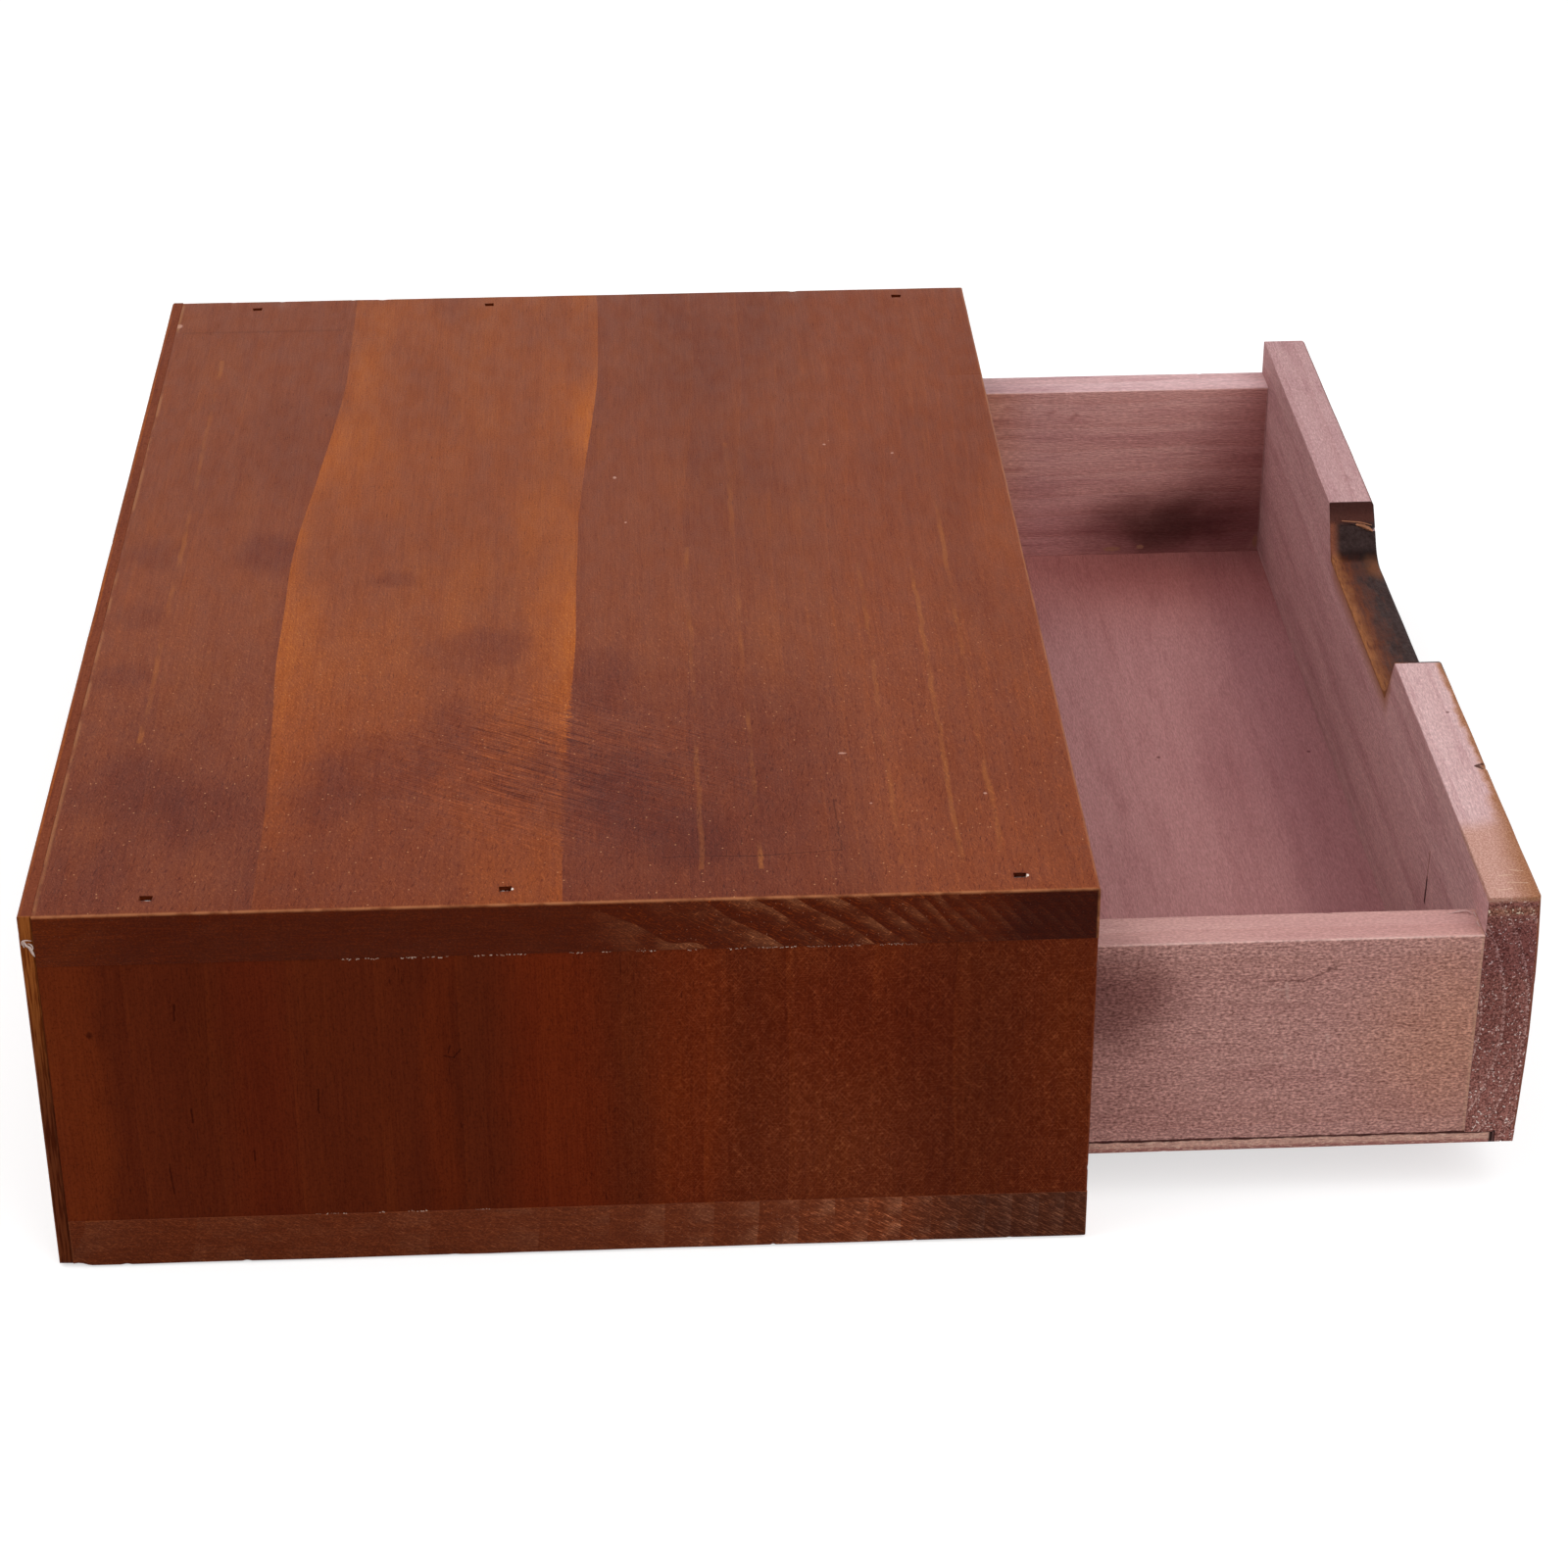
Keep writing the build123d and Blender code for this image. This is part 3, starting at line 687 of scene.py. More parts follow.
low, high = node_box("top_board")
face_z = high.z
rim = {"-x+z": OUTER_EASE, "+x+z": OUTER_EASE, "-y+z": OUTER_EASE}
top = board("top_board", low, high, rim, nick_count=14, seed=21)
drill(top, 7, top_left_brads=UP, top_right_brads=UP, back_panel_brads=REAR)
wood = Finish("stained_top_board")
along, across = wood.along, wood.across
pith_y = wood.between(along, 115, -10, 25.4, 31.4)
frayed = wood.mottled(0.35, 0.65, (9, 0.5, 9), 1.0, 46.0, wood.turned(-61), first=-0.8, last=0.8)
frayed = wood.product(frayed, wood.spot((-106, 0, face_z), (44, 40, 99), 0.5))
pith_y = wood.total(pith_y, frayed)
bulge = wood.total(wood.between(along, 60, 0, 0.0, 0.3), wood.between(along, -40, -130, 0.0, -0.8))
count = growth(wood, pith=(pith_y, wood.total(bulge, -23.0)), pace=(115.85, 0.069, 0.00335), sway=1.2,
               seed=4.0)
# only the two ring lines nearest the heart are clear
clear = wood.between(count, 0.02, 0.12, 0.9, 0.14)
stain(wood, count, 4.0, TOP_DARK, TOP_LIGHT, contrast=clear)
wood.shade((1.03, 0.97, 0.92), wood.between(across, -58, -72))
wood.shade((0.84, 0.77, 0.8), wood.between(along, -40, -135), wood.between(across, -78, -42))
wood.shade((1.0, 0.95, 0.85), wood.between(along, -40, -135), wood.between(across, -62, -84))
middle_near = wood.product(wood.between(along, -50, -95), wood.between(across, -72, -50),
                           wood.between(across, 66, 60))
wood.shade((0.92, 0.87, 0.88), middle_near)
thin = wood.wavy(0.8, 9.0, 30.0)
for start, end, strength in ORANGE_LINES:
    line = wood.product(wood.stroke((*start, face_z), (*end, face_z), 0.8, thin), strength)
    wood.tint((0.38, 0.12, 0.032), line, wood.mottled(0.38, 0.62, (22, 9, 9), 3.0, 33.0))
uneven = wood.wavy(7.0, 16.0, 31.0)
for middle, reach, strength in WET_MARKS:
    blot = wood.spot((*middle, face_z), (*reach, 99), 0.65, uneven)
    wood.shade((0.76, 0.7, 0.82), blot, strength)
# sanding scratches, which run slantwise towards the left end
rubbed = wood.spot((-106, 2, face_z), (46, 56, 99), 0.7)
for turn, width, seed, tone, rise in SANDING:
    lines = wood.speckle((9, width, 9), 1.0, seed, wood.turned(turn))
    lines = wood.product(wood.between(lines, 0.52, 0.66), rubbed)
    wood.shade(tone, lines)
    wood.lift(rise, lines)
scored = wood.spot((-104, 6, face_z), (38, 20, 99), 0.6)
for seed, tone in ((47, (1.4, 1.5, 1.35)), (48, (0.62, 0.54, 0.6))):
    lines = wood.speckle((12, 0.55, 9), 1.0, seed, wood.turned(-59))
    wood.shade(tone, wood.between(lines, 0.56, 0.66), scored)
thin = wood.wavy(0.5, 4.0, 9.0)
for start, end in zip(SCRATCH, SCRATCH[1:]):
    wood.shade((0.5, 0.45, 0.5), wood.stroke((*start, face_z), (*end, face_z), 0.32, thin), 0.7)
wood.shade((0.6, 0.55, 0.6), wood.stroke((140, 62, face_z), (140, 104, face_z), 0.9), 0.35)
flecks = wood.mottled(0.57, 0.67, (1.6, 0.34, 9), 1.0, 45.0, wood.turned(-20))
wood.shade((1.3, 1.44, 1.4), flecks, wood.between(along, 60, -80))
glints = wood.product(wood.specks(1.9, 0.24, 0.4, 3.0), wood.between(along, 20, -100))
wood.tint((0.66, 0.31, 0.15), glints, 0.7)
cuts = wood.mottled(0.6, 0.7, (2.8, 0.4, 9), 1.0, 49.0, wood.turned(12))
wood.shade((0.66, 0.56, 0.6), cuts, wood.between(along, -10, -110))
thin = wood.wavy(0.3, 1.0)
for middle, reach in PALE_MARKS:
    wood.tint((0.62, 0.34, 0.26), wood.spot((*middle, face_z), (*reach, 9), 0.5, thin), 0.7)
# Each brad darkens the wood round it, partly iron stain and partly painted shade. The two front brads also
# get a painted glint just in front of their holes.
for n, (brad_low, brad_high) in enumerate(solids_of("top_left_brads")):
    middle = (brad_low + brad_high) / 2
    wood.shade((0.86, 0.82, 0.84), wood.spot((middle.x, middle.y, face_z), (2.6, 3.0, 9), 0.7, thin))
    if n < 2:
        brad_glint = wood.spot((middle.x - 0.1, brad_low.y - 0.35, face_z), (0.55, 0.4, 9), 0.5, thin)
        wood.tint((0.95, 0.8, 0.7), brad_glint, 0.9)
joint = wood.product(wood.between(across, high.y - 1.1, high.y - 0.4), wood.upward(),
                     wood.mottled(0.42, 0.6, (12, 3, 3), 3.0, 36.0))
wood.tint((0.5, 0.22, 0.09), joint, 0.35)
crowded = wood.mottled(0.3, 0.7, (90, 24, 80), 1.0, 35.0, first=-0.28, last=0.28)
crowded = wood.product(crowded, wood.between(across, -8, -26))
wood.part = wood.maths("FRACT", wood.total(count, crowded))
bands = wood.product(wood.between(across, 0, -30, 0.06, 1.0), wood.between(across, -88, -62, 0.35, 1.0))
end_grain(wood, TOP_END, TOP_END_BANDS, bands)
wood.shade((0.5, 0.42, 0.45), wood.end, wood.between(across, -86, -95))
wood.shade((1.4, 1.6, 1.6), wood.end, wood.between(across, 82, 108))
edge_wear_and_highlight(wood, low, high, "+y-z", TOP_EDGE, reach=0.75, strength=0.75)
put(top, "case", polish(wood, TOP_SHINE), "top_board")


# Back panel
# A 3 mm sheet laid over the back edges of the four boards, and held by ten short brads. Its cut
# edges stayed a golden brown, and a curl of its fibres has lifted at the upper left corner.
SHEET_RECESS = 0.25                                # the sheet stops short of the case's left side
EDGE_GOLD = (0.34, 0.098, 0.02)
EDGE_BROWN = (0.13, 0.029, 0.009)
SHEET_EDGE = (0.36, 0.12, 0.036)


def smooth_run(points, steps=6):
    """More points along a smooth line through a few given ones."""
    spots = [Vector(point) for point in points]
    spots = [2 * spots[0] - spots[1]] + spots + [2 * spots[-1] - spots[-2]]
    line = []
    for a, b, c, d in zip(spots, spots[1:], spots[2:], spots[3:]):
        for step in range(steps):
            t = step / steps
            line.append((2 * b + (c - a) * t + (2 * a - 5 * b + 4 * c - d) * t * t
                         + (3 * b - a - 3 * c + d) * t ** 3) / 2)
    return line + [spots[-2]]


def shavings(name, out, strands):
    """Thin lifted fibres, flat towards out and widest in the middle. Each strand is its width, its
    thickness and the points that it runs through."""
    points, faces = [], []
    for width, thickness, *route in strands:
        line = smooth_run(route)
        first = len(points)
        for n, spot in enumerate(line):
            run = (line[min(n + 1, len(line) - 1)] - line[max(n - 1, 0)]).normalized()
            side = run.cross(Vector(out)).normalized()
            thick = side.cross(run)
            inner = 0 < n < len(line) - 1
            swell = 0.25 + (0.75 * math.sin(math.pi * n / (len(line) - 1)) ** 0.7 if inner else 0.0)
            half = width / 2 * swell * (1 + 0.3 * noise.noise(spot * 2.1))
            points += [spot + side * half * a + thick * thickness / 2 * b
                       for a, b in ((-1, 0), (0, -1), (1, 0), (0, 1))]
        for ring in range(first, len(points) - 4, 4):
            faces += [(ring + a, ring + (a + 1) % 4, ring + 4 + (a + 1) % 4, ring + 4 + a) for a in range(4)]
        faces += [(first + 3, first + 2, first + 1, first), tuple(range(len(points) - 4, len(points)))]
    piece = new_piece(name, points, faces)
    shell = bmesh.new()
    shell.from_mesh(piece.data)
    bmesh.ops.recalc_face_normals(shell, faces=shell.faces)
    shell.to_mesh(piece.data)
    shell.free()
    return piece


low, high = node_box("back_panel")
low.x += SHEET_RECESS
rim = {"-x+y": OUTER_EASE, "+x+y": OUTER_EASE, "+y-z": OUTER_EASE, "+y+z": OUTER_EASE, "-x-z": 2.2}
back = board("back_panel", low, high, rim, nick_count=6, seed=31)
drill(back, 10, back_panel_brads=REAR)
wood = Finish("stained_back_panel", "xzy")
rings = growth(wood, pith=(44, 330), pace=(216.0, 0.09, 0.002), sway=5.0, seed=12.0)
stain(wood, rings, 12.0, STAIN_DARK, STAIN_LIGHT, contrast=0.7)
cut_edge = wood.mix(wood.between(wood.across, 35, 84), EDGE_BROWN, EDGE_GOLD)
cut_edge = wood.toned(cut_edge, (0.5, 0.36, 0.3), wood.mottled(0.42, 0.62, (7, 9, 0.45), 3.0, 13.0))
wood.colour = wood.mix(wood.faces_along("x"), wood.colour, cut_edge)
from_joint = wood.total(wood.through, wood.speckle((2, 3, 9), 2.0, 14.0))
from_joint = wood.between(from_joint, low.y + 1.1, low.y + 0.7)
wood.shade((0.4, 0.35, 0.4), from_joint, wood.faces_along("x"), 0.6)
edge_wear_and_highlight(wood, low, high, "-y", SHEET_EDGE, reach=0.5, strength=0.5)
put(back, "case", polish(wood, SIDE_SHINE), "back_panel")

lifted_fibre = crumb_finish("lifted_fibre", patch=0.3, dark=(0.55, 0.36, 0.3), light=(0.8, 0.66, 0.6),
                            grit=0.2, rise=0.02, rough=0.7, shine=0.1)
curl = shavings("curled_fibre", RIGHT, [
    (0.3, 0.16, (-161.7, 109.5, 81.2), (-161.85, 109.3, 82.1), (-161.85, 108.5, 82.4), (-161.8, 107.4, 82.2)),
    (0.62, 0.18, (-161.8, 109.0, 82.2), (-161.85, 108.6, 81.2), (-161.85, 107.9, 80.6),
     (-161.8, 107.5, 79.4), (-161.75, 107.1, 78.4)),
    (0.25, 0.14, (-161.7, 108.6, 82.4), (-161.85, 109.2, 81.6), (-161.8, 109.0, 80.6)),
    (0.3, 0.14, (-161.75, 108.3, 81.6), (-161.85, 107.6, 81.3), (-161.8, 107.3, 80.4), (-161.8, 107.9, 79.6)),
])
put(curl, "case", lifted_fibre)


# Drawer front
# A board with a crowned outer face and a rebate in its foot for the bottom sheet. The finger
# notch was cut with a hot tool, which charred it and split its right wall, and the outer face is
# stained like the case.
FRONT_EASE = 1.0
FRONT_CORNER = 1.5
REBATE_DEPTH = 6.3
REBATE_CORNER = 0.05
SHEET = 3.0
CROWN_HEIGHT = 33.1
TOP_THICKNESS = 11.3
FOOT_THICKNESS = 11.1
NOTCH_HALF_TOP, NOTCH_HALF_FLOOR, NOTCH_DEPTH, NOTCH_RADIUS = 43.5, 36.5, 12.7, 8.0
FIXED_BELOW = 40.0                                 # under this height the notch changes nothing
WALL_STEP, WALL_STEPS = 0.6, 21                    # rows of points over each end of the notch
CRACK = (                                          # from its thin end: in from the inner face, drop
    (2.5, 4.2, 0.1, 0.5), (5.0, 4.9, 0.3, 0.9),    # below the top edge, half height and depth
    (7.5, 5.3, 0.45, 1.3), (9.5, 6.1, 0.7, 1.7), (13.0, 6.4, 0.9, 2.0),
)

low, high = node_box("drawer_front")
inner_y, crown_y, foot_z, top_z = high.y, low.y, low.z, high.z
crown_z = foot_z + CROWN_HEIGHT
notch_z = top_z - NOTCH_DEPTH
wall_angle = math.atan2(NOTCH_DEPTH, NOTCH_HALF_TOP - NOTCH_HALF_FLOOR)
arc_from = NOTCH_HALF_FLOOR - NOTCH_RADIUS * math.tan(wall_angle / 2)
arc_to = arc_from + NOTCH_RADIUS * math.sin(wall_angle)


def front_top(x):
    """Height of the front's top edge: level, with the notch's sloped ends and rounded floor corners."""
    off = abs(x)
    if off <= arc_from:
        return notch_z
    if off <= arc_to:
        return notch_z + NOTCH_RADIUS - math.sqrt(NOTCH_RADIUS ** 2 - (off - arc_from) ** 2)
    return min(top_z, notch_z + (off - NOTCH_HALF_FLOOR) * math.tan(wall_angle))


def front_thickness(z):
    """Thickness of the crowned board, on an arc through its foot, crown and top edge."""
    thickest = inner_y - crown_y
    end_z, end = (top_z, TOP_THICKNESS) if z > crown_z else (foot_z, FOOT_THICKNESS)
    return thickest - (thickest - end) * ((z - crown_z) / (end_z - crown_z)) ** 2


def front_shape(place):
    """Gives the plain board its notch, its rebate and its crown."""
    x, y, z = place
    if z > FIXED_BELOW:
        z = FIXED_BELOW + (z - FIXED_BELOW) * (front_top(x) - FIXED_BELOW) / (top_z - FIXED_BELOW)
    inner = inner_y - (REBATE_DEPTH if z < foot_z + SHEET - CLOSEST_ROWS else 0.0)
    depth = (inner_y - y) / (inner_y - crown_y)
    return x, inner - depth * (front_thickness(z) - (inner_y - inner)), z


def wall_x(drop):
    """Where the notch's right wall is, a drop below the top edge."""
    return NOTCH_HALF_TOP - drop / math.tan(wall_angle)


wall_columns = [side * (arc_from + WALL_STEP * step) for side in (-1, 1) for step in range(WALL_STEPS)]
wall_columns += [side * NOTCH_HALF_TOP for side in (-1, 1)]
rebate_rows = [foot_z + SHEET, foot_z + SHEET - REBATE_CORNER]
rim = {"-x-y": FRONT_CORNER, "+x-y": FRONT_CORNER, "-y+z": FRONT_EASE, "+y+z": 0.35,
       "-x+z": 0.4, "+x+z": 0.4, "-x-z": 0.5, "-y-z": 0.5}
front = board("drawer_front", low, high, rim, nick_count=6, seed=41, pitch=5.0,
              extra=(wall_columns, (), rebate_rows), shape=front_shape, nicks=[("-y+z", -93.3, 1.3, 1.0)])
drill(front, 11, drawer_front_left_brads=FRONT, drawer_front_right_brads=FRONT, drawer_bottom_brads=DOWN)
# each station of the crack is a triangle: two corners outside the wall and one deep in it
crack_points = [(wall_x(drop) + x, inner_y - inward, top_z - drop + half * up)
                for inward, drop, half, depth in CRACK
                for x, up in ((-1.5, 1.2), (depth, 0.1), (-1.5, -1.0))]
crack_faces = [(ring + a, ring + (a + 1) % 3, ring + 3 + (a + 1) % 3, ring + 3 + a)
               for ring in range(0, len(crack_points) - 3, 3) for a in range(3)]
crack_faces += [(2, 1, 0), tuple(range(len(crack_points) - 3, len(crack_points)))]
carve(front, crack_points, crack_faces)


BARE_SHINE = 0.08
BARE_END = (0.15, 0.047, 0.039)
BARE_END_LIGHT = (0.222, 0.083, 0.069)
BARE_EDGE = (0.78, 0.55, 0.52)


def bare(wood, count, seed, light, dark, streaks=1.0, grit=1.0, fuzz_size=(1.5, 0.34, 0.34)):
    """Bare softwood with a dusty pink cast, its fibres raised and a little fuzzy."""
    part = wood.maths("FRACT", count)
    wood.colour = wood.mix(wood.product(wood.maths("POWER", part, 2.0), 0.4), light, dark)
    broad = wood.mottled(0.48, 0.7, (50, 6, 6), 3.0, seed + 1)
    wood.shade((0.84, 0.76, 0.78), broad, streaks)
    narrow = wood.mottled(0.5, 0.7, (16, 1.3, 1.3), 3.0, seed + 2)
    wood.shade((0.86, 0.8, 0.82), narrow, streaks)
    fibre = wood.speckle((fuzz_size[0] * 3, 0.36, 0.36), 3.0, seed + 3)
    wood.shade((1.26, 1.3, 1.3), wood.between(fibre, 0.4, 0.6), grit)
    fuzz = wood.speckle(fuzz_size, 4.0, seed + 4)
    wood.shade((1.5, 1.56, 1.56), wood.between(fuzz, 0.48, 0.62), grit)
    wood.shade((0.6, 0.52, 0.52), wood.between(fuzz, 0.45, 0.32), grit)
    pale = wood.product(wood.specks(1.1, 0.2, 0.3, seed + 6), grit, 0.45)
    wood.tint((0.66, 0.46, 0.42), pale)
    wood.lift(0.12, fibre)
    wood.lift(0.2, fuzz)
    wood.part, wood.seed = part, seed


def bare_ends(wood):
    """Sawn ends of bare wood: darker, and speckled where the pale tubes were cut open."""
    ends = wood.mix(wood.product(wood.part, 0.6), BARE_END, BARE_END_LIGHT)
    fuzz = wood.speckle((0.5, 0.42, 0.42), 3.0, wood.seed + 5)
    ends = wood.toned(ends, (1.9, 2.1, 2.1), wood.between(fuzz, 0.46, 0.58))
    ends = wood.toned(ends, (0.5, 0.42, 0.42), wood.between(fuzz, 0.44, 0.34))
    dots = wood.mottled(0.64, 0.72, (0.55, 0.55, 0.55), 1.0, wood.seed + 15)
    dots = wood.any_of(dots, wood.product(wood.specks(0.9, 0.24, 0.25, wood.seed), 0.8))
    arc = wood.product(wood.between(wood.part, 0.8, 0.97), wood.between(fuzz, 0.46, 0.6), 0.3)
    ends = wood.mix(wood.product(wood.any_of(dots, arc), 0.85), ends, (0.86, 0.64, 0.59))
    wood.colour = wood.mix(wood.end, wood.colour, ends)
    wood.lift(0.12, dots, wood.end)


def finish_bare(wood):
    """The last look of bare wood: pale specks and a dull surface."""
    wood.tint((0.78, 0.56, 0.48), wood.specks(4.0, 0.15, 0.2, wood.seed), 0.6)
    rough = wood.mottled(0.3, 0.7, (6, 2, 2), 2.0, wood.seed + 13, first=0.6, last=0.8)
    return wood.done(rough, BARE_SHINE)


FRONT_LIGHT = (0.53, 0.287, 0.283)
FRONT_DARK = (0.42, 0.196, 0.194)
OUTER_DARK = (0.17, 0.043, 0.02)
OUTER_LIGHT = (0.28, 0.08, 0.024)
CHAR = (0.03, 0.0155, 0.0143)
ASH = (0.047, 0.027, 0.0255)
SCORCHED_GOLD = (0.345, 0.13, 0.05)
SCORCHED_ORANGE = (0.125, 0.037, 0.019)
SCORCHED_BROWN = (0.076, 0.029, 0.0215)
SPILL_SCRATCHES = (                                # on the top edge, x and y of both ends
    ((-138, -200.5), (-138.6, -203)), ((-140.3, -197.5), (-140, -200.5)), ((-143, -199), (-143.5, -203)),
    ((-146, -196), (-145.6, -199.5)),
)
SPLINTERED_KNOT = (                                # the same, at the near end of the notch
    ((-92.2, -204.6), (-93.2, -202.6)), ((-93.2, -202.6), (-94.6, -203.8)), ((-93.4, -203.4), (-93.6, -205)),
)

wood = Finish("drawer_front_wood", "xzy")
along, across, through = wood.along, wood.across, wood.through
rings = growth(wood, pith=(44, -150), pace=(20.0, 0.2, 0.0), sway=4.0, seed=14.0)
bare(wood, rings, 14.0, FRONT_LIGHT, FRONT_DARK, streaks=0.7, grit=0.35)
wood.shade((1.1, 1.13, 1.12), wood.between(along, 20, -40))
upward = wood.upward()
wood.shade((1.04, 1.2, 1.22), upward)
wood.shade((0.9, 0.84, 0.84), upward, wood.between(along, 10, 60))
sparkle = wood.mottled(0.5, 0.66, (0.8, 0.36, 0.36), 3.0, 52.0)
wood.shade((1.14, 1.18, 1.18), upward, sparkle)
wood.shade((0.7, 0.6, 0.6), wood.spot((58, top_z, -201), (3, 9, 1.2)), 0.4)
wood.shade((0.4, 0.3, 0.3), wood.spot((-68.2, top_z, -201.4), (0.5, 9, 0.5), 0.4))
# a crack and a brown streak in the inner face
thin = wood.wavy(0.35, 2.0, 15.0)
wood.shade((0.1, 0.05, 0.05), wood.stroke((-94.4, 46.5, inner_y), (-94.0, 40.5, inner_y), 0.85, thin))
wood.shade((0.5, 0.32, 0.24), wood.stroke((-94.8, 54, inner_y), (-94.3, 45, inner_y), 0.5, thin), 0.8)
bare_ends(wood)
wood.shade((1.35, 1.5, 1.5), wood.end, wood.between(across, 46, 22))
wood.shade((0.85, 0.8, 0.85), wood.end, wood.spot((-149, 62, -200), (9, 8.5, 30), 0.5))
wood.shade((1.2, 1.35, 1.1), wood.end, wood.spot((-149, 71.5, -200), (9, 1.5, 30), 0.9))
# painted shade in the gap where the bottom sheet meets the rebate, drawn on the front's end
rebate_end = inner_y - REBATE_DEPTH - 0.15
rebate_gap_shade = wood.stroke((low.x, foot_z, rebate_end), (low.x, foot_z + SHEET, rebate_end), 0.5)
wood.shade((0.12, 0.08, 0.08), wood.end, rebate_gap_shade)
# the outer face is stained, and the stain has run over its top edge at the left end
outward = wood.maths("SUBTRACT", inner_y, through)
stained = wood.between(wood.facing[1], -0.35, -0.7)
ring = wood.product(wood.maths("POWER", wood.part, 2.0), wood.mottled(0.35, 0.6, (70, 12, 12), 1.0, 51.0))
wood.tint(wood.mix(ring, OUTER_DARK, OUTER_LIGHT), stained)
spill = wood.between(along, -94, -147, 1.8, 6.4)
spill = wood.total(spill, wood.mottled(0.3, 0.7, (5, 3, 3), 2.0, 16.0, first=-0.5, last=0.5))
past_spill = wood.maths("SUBTRACT", wood.maths("SUBTRACT", TOP_THICKNESS, outward), spill)
fading = wood.between(along, -100, -135, 0.5, 3.4)
reached = wood.product(wood.between(across, 73.5, 74.4), wood.between(along, -40, -46))
speckled = wood.mottled(0.4, 0.62, (0.55, 0.4, 0.4), 3.0, 17.0)
washed = wood.between(wood.total(along, wood.between(outward, 2, 11, 0, -3)), -115.5, -123.0)
washed = wood.any_of(washed, wood.between(wood.maths("DIVIDE", past_spill, fading), 1.2, -1.0))
wood.tint(wood.mix(speckled, (0.47, 0.22, 0.155), (0.65, 0.37, 0.285)), washed, reached, 0.8)
soaked = wood.maths("DIVIDE", wood.total(past_spill, wood.product(spill, 0.3)), fading)
soaked = wood.between(soaked, 1.0, -1.0)
wood.tint(wood.mix(speckled, (0.28, 0.103, 0.038), (0.415, 0.18, 0.083)), soaked, reached, 0.85)
for marks, width, strength, colour in ((SPILL_SCRATCHES, 0.22, 0.6, (0.8, 0.55, 0.4)),
                                       (SPLINTERED_KNOT, 0.45, 0.95, (0.07, 0.022, 0.014))):
    for start, end in marks:
        mark = wood.stroke((start[0], top_z, start[1]), (end[0], top_z, end[1]), width, thin)
        wood.tint(colour, mark, strength)
# scorching in and round the finger notch
below = wood.maths("SUBTRACT", notch_z, across)
beside = wood.maths("SUBTRACT", wood.maths("ABSOLUTE", along), NOTCH_HALF_FLOOR)
beside = wood.total(wood.product(beside, math.sin(wall_angle)), wood.product(below, math.cos(wall_angle)))
from_notch = wood.any_of(below, beside)
not_under = wood.between(wood.facing[2], -0.9, -0.5, 1, 0)
in_notch = wood.any_of(wood.between(from_notch, 0.5, 0.25),
                       wood.product(wood.between(from_notch, 2.6, 2.2), not_under))
flame = wood.mottled(0.3, 0.7, (3.5, 2, 2), 2.0, 18.0, first=-1.0, last=1.0)
bleed = wood.product(wood.between(from_notch, 6.5, -1.5), wood.between(outward, 0.6, 0.2),
                     wood.between(along, 38, 30), wood.between(along, -44, -40))
wood.tint((0.36, 0.145, 0.075), bleed)
licked = wood.speckle((6.0, 0.8, 0.8), 3.0, 19.0)
wood.tint(wood.mix(wood.between(licked, 0.28, 0.58), SCORCHED_ORANGE, SCORCHED_GOLD), in_notch)
taper = wood.between(along, -30, -44, 0.0, 1.6)
depth_in = wood.total(wood.maths("MULTIPLY_ADD", flame, 0.5, outward), taper,
                      wood.between(licked, 0.3, 0.7, -1.2, 1.2))
wood.tint(SCORCHED_ORANGE, in_notch, wood.between(depth_in, -0.4, 3.4))
wood.tint(SCORCHED_BROWN, in_notch, wood.between(depth_in, 2.6, 5.4))
black = wood.between(wood.maths("MULTIPLY_ADD", flame, 0.9, depth_in), 5.2, 8.8)
right_wall = wood.between(along, 35.2, 37.8)
charred = wood.mix(wood.mottled(0.3, 0.7, (1.6, 0.9, 0.9), 2.0, 20.0), CHAR, ASH)
wood.tint(charred, in_notch, black)
wood.tint(wood.mix(wood.between(outward, 0.2, 2.8), (0.22, 0.07, 0.04), charred), in_notch, right_wall)
wood.shade((0.3, 0.25, 0.25), in_notch, wood.between(along, 33.5, 35.5), wood.between(along, 38.2, 36.6),
           wood.between(outward, 1, 3))
upper_wall = wood.product(in_notch, right_wall, wood.between(across, top_z - 5.2, top_z - 3.8))
upper_brown = wood.mix(wood.between(across, top_z - 4.0, top_z - 0.6), (0.085, 0.028, 0.021),
                       (0.05, 0.015, 0.012))
wood.tint(upper_brown, upper_wall)
far_corner = wood.spot((31, notch_z, -204.5), (9, 3, 4.5), 0.9, wood.wavy(1.5, 4.0, 22.0))
wood.tint((0.2, 0.07, 0.03), in_notch, far_corner, 0.7)
around = wood.product(stained, wood.between(wood.maths("MULTIPLY_ADD", flame, 1.6, from_notch), 8.0, 0.5))
wood.tint(CHAR, around)
wood.lift(0.25, in_notch, wood.speckle((1.2, 1.0, 0.8), 3.0, 21.0))
put(front, "drawer", finish_bare(wood), "drawer_front")

chip = shavings("split_wood", (1, 0, 0.4), [
    (0.5, 0.22, (wall_x(4.0), inner_y - 3.0, top_z - 4.0), (wall_x(4.2) - 0.15, inner_y - 5.5, top_z - 4.2),
     (wall_x(4.4) - 0.3, inner_y - 8.0, top_z - 4.4), (wall_x(5.0) - 0.35, inner_y - 10.6, top_z - 5.0)),
    (1.5, 0.5, (wall_x(4.8), inner_y - 6.6, top_z - 4.9), (wall_x(5.2) - 0.35, inner_y - 8.6, top_z - 5.3),
     (wall_x(6.2) - 0.35, inner_y - 10.8, top_z - 6.3)),
])
split_wood = crumb_finish("split_wood", patch=0.8, dark=(0.33, 0.12, 0.06), light=(0.62, 0.3, 0.17), grit=0.3,
                          rise=0.05, rough=0.7, shine=BARE_SHINE)
put(chip, "drawer", split_wood)
